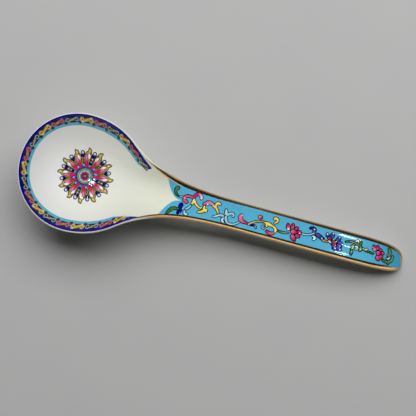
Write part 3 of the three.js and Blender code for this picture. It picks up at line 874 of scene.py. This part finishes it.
def handle_panel():
    """Coat between a start line with two lobes and the tip. Its sides go on under the gilt edge."""
    ahead = np.concatenate([[0, 0.002], np.linspace(0.006, 1, PANEL_STEPS)])
    across = 2 * edged(close=0.006, inner=0.02, steps=31) - 1
    start = place_at(PANEL_POINT - PANEL_LOBE * np.sqrt(np.abs(across)))
    place = np.where(across < 0, -1, 1) * lerp(start[None], 1, ahead[:, None])
    way = np.abs(across) * lerp(1, PANEL_EDGE, smoothstep(ahead, EDGE_START, EDGE_FULL))[:, None]
    raised = (ahead > 0)[:, None] & (np.abs(across) < 1)[None]
    return coat(np.stack([place, way], -1), raised.astype(float), PANEL_LEVEL, on_skin)


panel_points = handle_panel()
# Painted shade: the panel's colour darkens towards the drooping tip, which turns away from the light.
painted_tip_shade = smoothstep(panel_points[..., 0], PANEL_SHADE_START, SPOON_REACH)
make_piece("handle_turquoise_panel", panel_points, TURQUOISE, ["handle_panel"],
           pale=painted_tip_shade)

# %% Rose and golden scrolls, as pixels of the picture, half widths in millimetres and paleness
ROSE_SCROLLS = [
    ([(187.6, 202.4), (185.0, 200.8), (184.2, 198.3), (185.8, 196.4), (189.2, 196.2), (193.2, 197.5)],
     (0.9, 0.66, 0.5), (0.1, 0.1)),
    ([(193.4, 198.0), (195.8, 195.1), (198.7, 194.1), (201.3, 196.0), (201.4, 199.6)],
     (0.5, 0.75, 0.6), (-1, 1)),
    ([(203.2, 204.4), (206.4, 203.2), (210.2, 203.0), (214.3, 205.0)], (0.45, 1.0, 0.45), (0.2, 0.35)),
    ([(242.5, 215.0), (240.8, 216.2), (240.5, 218.8), (242.6, 221.4), (247.8, 223.6)],
     (0.95, 1.0, 0.3), (0.3, 0)),
    ([(258.9, 216.3), (260.6, 217.4), (261.5, 218.9)], (0.8, 1.0, 0.6), (0.5, -0.2)),
    ([(266.0, 230.7), (268.2, 232.6), (271.0, 233.5), (273.8, 233.0)], (0.6, 0.8, 0.5), (0, 0.2)),
]
GOLDEN_SCROLLS = [
    ([(194.3, 198.9), (193.4, 202.0), (191.5, 204.3)], (0.5, 0.8, 0.55), (0.9, -0.4)),
    ([(194.6, 200.4), (195.7, 203.8), (198.2, 206.8), (201.2, 208.5)], (0.5, 0.5, 0.35), (0.2, 0)),
    ([(204.6, 205.8), (204.0, 209.0), (206.9, 211.2)], (0.35, 0.7, 1.25), (0.1, 0)),
    ([(204.4, 210.4), (201.0, 211.8), (197.3, 211.8)], (0.75, 0.6, 0.4), (0, 0.1)),
    ([(212.6, 205.4), (215.8, 207.6), (217.3, 210.6), (218.3, 213.6)], (0.5, 0.55, 0.35), (0.2, 0)),
    ([(216.0, 207.0), (216.2, 204.6), (218.0, 203.3), (219.9, 203.9), (220.3, 205.2)],
     (0.4, 0.6, 0.5), (0.1, 0.4)),
    ([(274.2, 223.4), (276.7, 222.2), (277.8, 220.3), (276.4, 218.6), (273.8, 218.8)],
     (0.3, 0.62, 0.6), (0, 0.2)),
    ([(264.0, 222.2), (267.6, 223.6), (270.6, 225.2), (272.8, 226.2)], (0.35, 0.85, 0.45), (0, 0.3)),
    ([(266.2, 224.0), (266.9, 227.0)], (0.5, 0.45, 0.3), (0, 0.4)),
    ([(272.6, 226.0), (274.6, 227.9), (275.5, 230.4), (274.6, 232.6)], (0.45, 0.65, 0.45), (0.1, 0.4)),
    ([(366.0, 249.6), (367.6, 249.2)], (0.45, 0.6, 0.4), (0.3, 0)),
]

# %% Stems and leaves, in the same form
OLIVE_STEMS = [
    ([(248.0, 224.7), (251.0, 223.0), (257.4, 221.3), (264.6, 222.0)], (0.35, 0.42, 0.35), (0.6, -0.3)),
    ([(321.6, 239.6), (324.2, 240.9), (327.8, 241.7)], (0.35, 0.42, 0.3)),
]
GREEN_LEAVES = [
    ([(179.3, 188.2), (177.4, 188.0), (175.8, 190.4), (176.4, 193.8), (179.0, 196.2)],
     (0.9, 0.55, 0.2), (0.1, 0)),
    ([(178.6, 208.8), (174.0, 208.3), (170.0, 209.8), (166.2, 213.6)], (0.3, 0.85, 0.35)),
    ([(276.9, 230.2), (280.0, 231.7), (284.0, 232.7), (288.6, 233.0)], (0.3, 0.4, 0.2), (0, 0.4)),
    ([(345.4, 241.7), (350.0, 241.5), (354.4, 242.4), (357.2, 244.0), (360.6, 246.4)], (0.2, 0.4, 0.45)),
    ([(360.2, 246.0), (360.8, 243.4), (361.2, 240.6)], (0.4, 0.5, 0.3)),
    ([(351.4, 250.4), (350.8, 247.8), (352.2, 245.8), (355.6, 245.0)], (0.4, 0.42, 0.35)),
    ([(352.2, 250.2), (351.1, 252.6), (350.6, 254.8)], (0.4, 0.72, 0.3), (0.2, 0)),
    ([(360.8, 246.6), (361.0, 248.8), (359.0, 251.2)], (0.5, 0.72, 0.35), (0, 0.2)),
    ([(361.8, 248.2), (364.6, 250.3), (368.6, 251.9), (373.4, 253.7)], (0.3, 0.32, 0.3)),
    ([(388.7, 248.2), (389.7, 251.4), (389.8, 254.2), (387.4, 256.2)], (0.35, 0.85, 0.65), (0.1, 0.1)),
    ([(381.8, 259.8), (384.8, 261.5), (388.2, 262.0), (391.2, 260.4), (393.0, 255.8)],
     (0.4, 0.75, 0.35), (0, 0.2)),
    ([(387.8, 262.4), (387.8, 264.4)], (0.5, 0.5, 0.3)),
]
MINT_LEAVES = [
    ([(179.6, 196.6), (181.4, 196.8), (183.2, 197.0)], (0.2, 0.25, 0.2), (0.2, 0.2)),
    ([(352.4, 248.8), (352.8, 246.9), (354.2, 246.6)], (0.35, 0.42, 0.3), (0.3, 0.9)),
    ([(355.0, 246.6), (357.0, 246.8), (357.2, 248.6), (354.8, 249.6)], (0.4, 0.5, 0.3), (0.8, 0)),
    ([(355.6, 241.7), (357.6, 240.7), (359.4, 241.5)], (0.35, 0.48, 0.35), (1, 0.6)),
    ([(358.6, 242.0), (358.6, 243.4)], (0.25, 0.3, 0.2), (0.6, 0.3)),
    ([(360.4, 247.4), (360.4, 249.2), (359.2, 250.4)], (0.25, 0.35, 0.2), (0, 0.4)),
    ([(362.8, 248.2), (364.0, 249.0)], (0.3, 0.35, 0.25), (0.2, 0.9)),
]

# %% Blue scrolls and white touches, in the same form
COBALT_SCROLLS = [
    ([(182.8, 204.4), (180.9, 205.2), (180.6, 208.0)], (0.9, 0.95, 0.75)),
    ([(181.2, 209.4), (179.2, 211.0), (177.0, 213.4)], (0.75, 0.8, 0.35)),
    ([(250.2, 225.0), (253.0, 225.2), (255.2, 226.4), (255.8, 228.2)], (0.35, 0.35, 0.3), (-0.6, 0.5)),
    ([(309.9, 228.5), (312.4, 228.0), (314.4, 228.9), (314.8, 230.6), (312.6, 232.7)],
     (0.35, 0.7, 0.35), (0, 0.1)),
    ([(315.8, 233.8), (318.6, 235.6), (321.4, 237.9), (323.8, 238.8)], (0.5, 0.95, 0.4), (0.1, 0)),
]
SKY_SCROLLS = [
    ([(190.9, 205.4), (188.2, 207.9), (185.2, 209.3)], (0.35, 0.42, 0.4), (0.3, 0)),
    ([(184.6, 210.2), (184.2, 212.6), (185.6, 214.3), (187.4, 213.4)], (0.5, 0.6, 0.5), (0, 0.4)),
    ([(212.4, 216.5), (215.6, 216.2), (219.6, 215.2), (224.0, 215.9)], (0.2, 0.5, 0.75), (0.8, -0.2)),
    ([(226.2, 215.6), (226.3, 212.4), (226.3, 209.0)], (1.0, 0.75, 0.25), (0, 0.5)),
    ([(226.6, 215.4), (229.4, 213.9), (232.2, 213.5), (233.8, 215.0), (232.6, 217.0)],
     (0.7, 0.5, 0.4), (0, 0.3)),
    ([(223.6, 217.6), (222.1, 219.4), (222.2, 221.2), (223.8, 222.8)], (0.4, 0.65, 0.45), (0.5, 0.2)),
    ([(226.0, 216.0), (225.8, 219.6), (227.4, 222.8), (230.4, 224.2), (234.4, 224.2), (239.6, 221.9)],
     (0.75, 0.42, 0.3), (0, 0.2)),
    ([(264.4, 226.0), (262.4, 226.0), (262.0, 227.4), (263.0, 228.3), (264.6, 228.2)],
     (0.22, 0.28, 0.22), (0, 0.3)),
    ([(301.4, 233.6), (305.0, 234.5), (309.0, 234.6), (314.6, 233.2)], (0.3, 0.32, 0.35), (0.3, 0)),
    ([(312.4, 235.8), (314.3, 237.2), (314.5, 238.8), (312.6, 239.6)], (0.4, 0.7, 0.4), (0.4, 1)),
    ([(328.4, 240.2), (329.8, 241.8), (331.4, 243.0)], (0.3, 0.5, 0.3), (0.6, 0.3)),
    ([(386.2, 258.4), (388.4, 258.9), (389.9, 256.8)], (0.3, 0.5, 0.25), (0, 0.2)),
]
WHITE_TOUCHES = [
    ([(207.0, 204.5), (208.2, 204.4)], (0.3, 0.35, 0.25)),
    ([(242.2, 214.8), (242.7, 215.8)], (0.35, 0.42, 0.3)),
    ([(314.2, 228.8), (314.8, 230.0)], (0.32, 0.42, 0.25)),
    ([(321.2, 237.9), (322.2, 238.6)], (0.3, 0.4, 0.3)),
    ([(364.4, 249.6), (365.6, 249.5)], (0.35, 0.4, 0.3)),
    ([(299.2, 233.2), (300.1, 233.5)], (0.32, 0.4, 0.3)),
    ([(327.3, 233.4), (327.8, 234.8)], (0.3, 0.36, 0.25)),
    ([(332.9, 233.9), (333.6, 232.9)], (0.36, 0.42, 0.3)),
    ([(339.1, 237.9), (340.0, 237.2)], (0.4, 0.46, 0.35)),
    ([(341.9, 244.4), (342.8, 244.7)], (0.32, 0.36, 0.3)),
    ([(339.4, 246.3), (340.1, 245.7)], (0.36, 0.42, 0.3)),
    ([(339.2, 249.6), (340.4, 249.8)], (0.36, 0.42, 0.3)),
    ([(334.2, 248.2), (335.5, 248.7)], (0.36, 0.42, 0.3)),
    ([(333.3, 239.4), (334.1, 239.7)], (0.36, 0.42, 0.3)),
    ([(335.9, 241.3), (336.8, 241.6)], (0.34, 0.4, 0.3)),
    ([(335.0, 245.3), (335.8, 245.5)], (0.22, 0.28, 0.22)),
    ([(287.6, 228.4), (288.4, 230.0)], (0.3, 0.42, 0.3)),
    ([(372.2, 247.2), (372.8, 247.6)], (0.3, 0.36, 0.25)),
    ([(351.2, 251.4), (351.6, 252.0)], (0.24, 0.3, 0.24)),
    ([(184.8, 197.6), (185.0, 198.6)], (0.25, 0.32, 0.25)),
]

# %% Paint the scrolls
# Strokes, colour, slot and two tones of the outline
HANDLE_COLOURS = {
    "rose": (ROSE_SCROLLS, ROSE, "lotus_pink_enamel", "#1c0216", "#340620"),
    "golden": (GOLDEN_SCROLLS, GOLDEN, "scroll_enamel", "#221e0a", "#3c3410"),
    "olive": (OLIVE_STEMS, OLIVE, "scroll_enamel", "#1c1e0c", "#323416"),
    "green": (GREEN_LEAVES, LEAF_GREEN, "green_enamel", "#051614", "#0a2620"),
    "mint": (MINT_LEAVES, MINT, "green_enamel", "#06201a", "#0e3026"),
    "cobalt": (COBALT_SCROLLS, COBALT, "cobalt_enamel", "#020428", "#060a3c"),
    "sky": (SKY_SCROLLS, SKY, "turquoise_enamel", "#061a26", "#0e2e3e"),
}
OUTLINE_WIDTH, OUTLINE_LEVEL, SCROLL_LEVEL = 0.5, 0.09, 0.14
WHITE = enamel("white_touch", "#eef2f4", "#f8fafa")


def traced(strokes):
    """The same strokes with their pixels traced onto the face."""
    return [(from_photo(pixels), *rest) for pixels, *rest in strokes]


for colour, (strokes, material, slot, dark, less_dark) in HANDLE_COLOURS.items():
    found = traced(strokes)
    edge = enamel(f"{colour}_outline", dark, less_dark)
    edges = [(points, widths) for points, widths, *_ in found]
    paint(f"handle_{colour}_outlines", edges, edge, slot, grow=OUTLINE_WIDTH, level=OUTLINE_LEVEL, crown=0.01)
    paint(f"handle_{colour}_scrolls", found, material, slot, level=SCROLL_LEVEL, crown=0.03)

# %% [markdown]
# ## Lotus flowers
# Three lotus flowers are spread along the handle: pink, blue and pink. Every petal has its own dark outline,
# so the petals are laid from back to front, each a little higher than the last. A petal is a stroke from its
# foot to its point.

# %% Lotus petals, from back to front
NECK_PETALS = [
    ([(289.0, 230.4), (288.1, 226.6), (288.2, 223.4)], (0.6, 1.0, 0.45), (0.6, -0.3)),
    ([(292.4, 229.0), (292.8, 226.2), (293.4, 223.6)], (0.7, 0.95, 0.4), (0.2, -0.2)),
    ([(295.2, 229.2), (296.8, 228.4), (298.3, 227.8)], (0.5, 0.85, 0.5), (0.1, 0)),
    ([(297.6, 231.2), (299.4, 232.4), (301.0, 233.9)], (0.7, 1.0, 0.45), (0, 0.1)),
    ([(295.4, 235.0), (297.4, 236.0), (299.4, 237.1)], (0.6, 1.0, 0.6), (0.1, 0)),
    ([(291.4, 234.6), (293.0, 237.8), (294.9, 241.0)], (0.8, 1.2, 0.45), (0.25, -0.1)),
    ([(290.8, 231.2), (293.7, 231.8), (296.6, 232.8)], (0.9, 1.3, 0.8), (0.3, -0.1)),
]
TIP_PETALS = [
    ([(374.9, 250.8), (374.0, 247.8), (373.9, 245.2)], (0.6, 0.95, 0.4), (0.6, -0.3)),
    ([(377.1, 249.6), (377.6, 247.4), (377.7, 245.6)], (0.7, 0.95, 0.4), (0.2, -0.2)),
    ([(378.8, 250.6), (380.3, 250.2), (381.8, 249.6)], (0.6, 0.85, 0.5), (0.1, 0)),
    ([(380.8, 252.8), (382.2, 253.3), (383.7, 253.9)], (0.6, 0.95, 0.5), (0, 0.1)),
    ([(379.4, 255.8), (380.8, 256.9), (382.4, 257.9)], (0.6, 1.0, 0.6), (0.1, 0)),
    ([(376.5, 256.0), (377.6, 258.2), (379.0, 260.4)], (0.75, 1.15, 0.5), (0.25, -0.1)),
    ([(376.2, 252.4), (378.2, 253.0), (380.4, 253.8)], (0.85, 1.3, 0.8), (0.3, -0.1)),
]
BLUE_PETALS = [
    ([(328.6, 237.0), (327.6, 235.2), (327.2, 233.2)], (0.6, 0.85, 0.5)),
    ([(332.6, 237.8), (332.6, 235.4), (333.0, 233.0)], (0.8, 1.0, 0.55), (0.1, 0)),
    ([(336.4, 240.2), (338.6, 239.0), (340.6, 237.4)], (0.7, 1.05, 0.6), (0.1, 0)),
    ([(337.6, 242.2), (340.0, 243.2), (342.4, 244.4)], (0.7, 0.85, 0.45), (0.1, 0)),
    ([(336.6, 245.2), (339.2, 245.9), (341.6, 246.8)], (0.7, 0.9, 0.5), (0.1, 0)),
    ([(335.8, 247.4), (338.2, 248.8), (341.0, 249.8)], (0.7, 0.9, 0.5), (0, 0.2)),
    ([(332.6, 246.6), (334.2, 248.4), (335.8, 250.2)], (0.75, 0.95, 0.5)),
]
HEART_OF_BLUE = [
    ([(327.8, 237.6), (329.5, 238.4), (331.4, 239.3)], (0.55, 0.85, 0.55), (0.3, 0)),
    ([(331.8, 240.2), (333.8, 241.8), (335.8, 243.6)], (0.7, 1.05, 0.6), (0, 0.4)),
    ([(331.2, 244.6), (333.2, 244.2), (335.2, 244.6)], (0.55, 0.85, 0.55), (0, 0.2)),
    ([(332.2, 246.2), (333.8, 246.4), (335.6, 246.2)], (0.5, 0.65, 0.45), (0.3, 0)),
]
PETAL_LINE, PETAL_STEP = 0.46, 0.03
DARK_ROSE = enamel("dark_rose_outline", "#160212", "#2a061c")


def lotus(name, petals, material, line, node, base):
    """Flower whose petals, each with its outline below it, climb one step from back to front."""
    fills, edges = [], []
    for order, (points, widths, *pale) in enumerate(traced(petals)):
        level = base + PETAL_STEP * order
        edges.append(stroke(points, widths, grow=PETAL_LINE, level=level, crown=0.0))
        fills.append(stroke(points, widths, *pale, level=level + PETAL_STEP, crown=0.04))
    lay_strokes(f"{name}_outlines", edges, line, [node])
    lay_strokes(f"{name}_petals", fills, material, [node])


LOTUS_ROSE = enamel("lotus_rose", "#a21550", "#c22f6e", "#f0bcd2")
LOTUS_BLUE = enamel("lotus_blue", "#0a2490", "#2444b2", "#a9b0e0")
lotus("pink_lotus_neck", NECK_PETALS, LOTUS_ROSE, DARK_ROSE, "lotus_neck", 0.1)
lotus("blue_lotus", BLUE_PETALS, LOTUS_BLUE, NAVY_LINE, "lotus_middle", 0.1)
lotus("blue_lotus_heart", HEART_OF_BLUE, MAROON, DARK_ROSE, "lotus_middle", 0.2)
lotus("pink_lotus_tip", TIP_PETALS, LOTUS_ROSE, DARK_ROSE, "lotus_tip", 0.1)
paint("handle_white_touches", traced(WHITE_TOUCHES), WHITE, "china", level=0.4)

# %% [markdown]
# ## The gilt edge
# Gold is brushed round the rounded edge of the handle, starting thin at the neck, and fired until it shines.
# It is a coat on the lip: places from the far side round the tip to the near side, by ways over the rounding.
# The brush leaves fine streaks along the edge, and the gold is thinner at the tip, where the turquoise goes
# further.

# %% Fired gold
STREAKS_PER_MM, STREAKS_ACROSS = 0.12, 9.0


def fired_gold():
    """Burnished gold lustre. The eye sees dark and bright reflections drawn out along the brush streaks.

    Real brush streaks are finer than these, which are as coarse as they need to be to show.
    """
    material, tree, shader, where = new_material("fired_gold")
    stretched = add(tree, "ShaderNodeMapping", {"Vector": where.outputs["UV"],
                                                "Scale": (STREAKS_PER_MM, STREAKS_ACROSS, 1.0)})
    streak = add(tree, "ShaderNodeTexNoise", {"Vector": stretched.outputs["Vector"], "Scale": 1.0,
                                              "Detail": 3.0})
    tone = add(tree, "ShaderNodeMix", {MIX_FACTOR: streak.outputs["Fac"], MIX_A: linear("#a2692c"),
                                       MIX_B: linear("#ffda9c")}, data_type="RGBA")
    rough = add(tree, "ShaderNodeMapRange", {"Value": streak.outputs["Fac"], "To Min": 0.16, "To Max": 0.38})
    bump = add(tree, "ShaderNodeBump", {"Height": streak.outputs["Fac"], "Strength": 0.5,
                                        "Distance": 0.03 * MM})
    plug(tree, shader, {"Base Color": tone.outputs[MIX_RESULT], "Roughness": rough.outputs["Result"],
                        "Normal": bump.outputs["Normal"], "Metallic": 1.0})
    return material


GILT_START, GILT_FULL, GILT_OUTER, GILT_BEGIN_SHARE = 33.5, 50.0, 1.8, 0.2
GILT_LEVEL = 0.09
INNER_AT = [0, 0.06, 0.12, 0.2, 0.44, 0.49, 0.51, 0.54, 0.6, 0.8, 1]
INNER_SHIFT = [0, -0.05, 0.05, 0.22, 0.06, 0.1, 0.3, -0.1, -0.05, 0.0, 0]


def gilt_band():
    """Coat over the lip from the neck on the far side, round the tip, to the neck on the near side.

    Its inner edge lies further out on the far side, and furthest out at the tip.
    """
    begin, full = place_at(GILT_START), place_at(GILT_FULL)
    along = edged(close=0.001, inner=0.003, steps=420)
    across = edged(close=0.02, inner=0.07, steps=9)
    place = lerp(begin, 2 - begin, along)
    share = lerp(GILT_BEGIN_SHARE, 1, smoothstep(1 - np.abs(1 - place), begin, full))
    inner = 1 + np.interp(along, INNER_AT, INNER_SHIFT)
    way = lerp(inner[:, None], (1 + (GILT_OUTER - 1) * share)[:, None], across[None])
    spot = np.stack([np.broadcast_to(place[:, None], way.shape), way], -1)
    raised = inside(along)[:, None] & inside(across)[None]
    points = coat(spot, raised.astype(float), GILT_LEVEL, on_skin)
    run = walked_length(points[0, :, len(across) // 2])
    uv = np.stack(np.broadcast_arrays(run[:, None], across[None]), -1)
    return points, np.concatenate([uv, uv[:, ::-1]], 1)


gilt_points, gilt_uv = gilt_band()
make_piece("gilt_band", gilt_points, fired_gold(), ["gilt_edge"], uv=gilt_uv)

# %% [markdown]
# ## Table and light
# A pale matt table and one large soft lamp above the far side give the wide soft shadow of the photograph. A
# second soft lamp lights the spoon, and panels give the gold something bright to reflect. Small level lamps
# over the spoon put glints and streaks on the glaze.

# %% Table
def matt_table():
    """Matt painted board. The eye sees an even pale grey with a hardly visible grain."""
    material, tree, shader, where = new_material("matt_table")
    grain = add(tree, "ShaderNodeTexNoise", {"Vector": where.outputs["Object"], "Scale": per_mm(40),
                                             "Detail": 4.0})
    tone = add(tree, "ShaderNodeMix", {MIX_FACTOR: grain.outputs["Fac"], MIX_A: linear("#cccccc"),
                                       MIX_B: linear("#d1d1d0")}, data_type="RGBA")
    plug(tree, shader, {"Base Color": tone.outputs[MIX_RESULT], "Roughness": 0.9, "Specular IOR Level": 0.1})
    return material


TABLE_HALF = 4.0
table_mesh = bpy.data.meshes.new("table")
corners = [(x * TABLE_HALF, y * TABLE_HALF, 0) for x, y in ((-1, -1), (1, -1), (1, 1), (-1, 1))]
table_mesh.from_pydata(corners, [], [(0, 1, 2, 3)])
table_mesh.materials.append(matt_table())
table = bpy.data.objects.new("table", table_mesh)
spoon_pieces = list(scene.collection.objects)
scene.collection.objects.link(table)

# %% Helpers for lamps
SPOON_MIDDLE, BOWL_MIDDLE = Vector((0.08, 0.0, 0.0)), Vector((0.0, 0.0, 0.002))
HANDLE_BEND = Vector((0.152, 0.0, 0.012))
GLINT_HEIGHT = 1.4


def level_lamp(name, place, size, power):
    """Rectangular lamp at a place, shining straight down."""
    light = bpy.data.lights.new(name, "AREA")
    light.shape = "RECTANGLE"
    light.size, light.size_y = size
    light.energy = power
    made = bpy.data.objects.new(name, light)
    made.location = place
    scene.collection.objects.link(made)
    return made


def only(light, pieces):
    """Let a lamp shine on some pieces alone."""
    group = bpy.data.collections.new(light.name + "_pieces")
    for piece in pieces:
        group.objects.link(piece)
    light.light_linking.receiver_collection = group


def aimed_lamp(name, direction, distance, size, power, target, pieces):
    """Lamp that shines at a target from a direction, on some pieces alone."""
    made = level_lamp(name, target + Vector(direction).normalized() * distance, size, power)
    made.rotation_euler = (target - made.location).to_track_quat("-Z", "Y").to_euler()
    only(made, pieces)
    return made


def glint(name, lean, size, power, target, pieces):
    """Lamp that shows only as a mirror image in some pieces. It leans out by parts of its height."""
    made = level_lamp(name, target + GLINT_HEIGHT * Vector((*lean, 1.0)), size, power)
    made.visible_diffuse = False
    only(made, pieces)


def pieces_named(*starts):
    """Pieces of the spoon whose names start in one of these ways."""
    return [piece for piece in spoon_pieces if piece.name.startswith(starts)]


# %% Soft lamps and panels for the gold
GOLD_PANEL_DISTANCE = 1.6
aimed_lamp("window_on_the_table", (0.0, 0.643, 0.766), 1.5, (2.4, 1.1), 28.0, SPOON_MIDDLE, [table])
soft_box = aimed_lamp("soft_box_on_the_spoon", (0.0, 0.23, 0.97), 1.3, (2.6, 2.5), 38.5, SPOON_MIDDLE,
                      spoon_pieces)
soft_box.visible_glossy = False
# Direction, size in metres, power in watts and target
GOLD_PANELS = {
    "front": ((0.1, -0.88, 0.47), (3.0, 1.2), 13.5, SPOON_MIDDLE),
    "back": ((-0.18, 0.74, 0.67), (0.7, 0.4), 0.7, SPOON_MIDDLE),
    "tip": ((0.9, -0.35, 0.28), (1.2, 1.0), 4.0, HANDLE_BEND),
}
for side, (direction, size, power, target) in GOLD_PANELS.items():
    aimed_lamp(f"{side}_panel_for_gold", direction, GOLD_PANEL_DISTANCE, size, power, target,
               pieces_named("gilt_band"))

# %% Glints on the rosette and streaks on the handle
# Lean, size in metres and power in watts
GLINTS = {
    "rosette_glint": ((-0.44, 0.12), (0.24, 0.12), 4.5),
    "bowl_glint": ((-0.47, 1.25), (0.16, 0.12), 4.0),
    "far_streak": ((0.37, -0.29), (0.3, 0.02), 1.3),
    "middle_streak": ((0.34, 0.03), (0.1, 0.02), 0.5),
    "near_streak": ((0.3, 0.3), (0.15, 0.02), 0.7),
}
on_handle = pieces_named("handle", "pink_lotus", "blue_lotus")
for name, (lean, size, power) in GLINTS.items():
    spot = (HANDLE_BEND, on_handle) if "streak" in name else (BOWL_MIDDLE, pieces_named("rosette"))
    glint(f"{name}_lamp", lean, size, power, *spot)
print("lamps:", [light.name for light in bpy.data.lights])


# %% Room
def soft_room():
    """Room light that depends on direction: dim overhead, a little brighter towards the horizon."""
    world = bpy.data.worlds.new("soft_room")
    world.use_nodes = True
    tree = world.node_tree
    where = add(tree, "ShaderNodeTexCoord")
    up = add(tree, "ShaderNodeSeparateXYZ", {"Vector": where.outputs["Generated"]})
    level = add(tree, "ShaderNodeMapRange", {"Value": up.outputs["Z"], "From Min": 0.0, "From Max": 0.6,
                                             "To Min": 0.05, "To Max": 0.02})
    plug(tree, tree.nodes["Background"], {"Strength": level.outputs["Result"], "Color": linear("#ffffff")})
    scene.world = world


soft_room()
scene.view_settings.view_transform = "Standard"
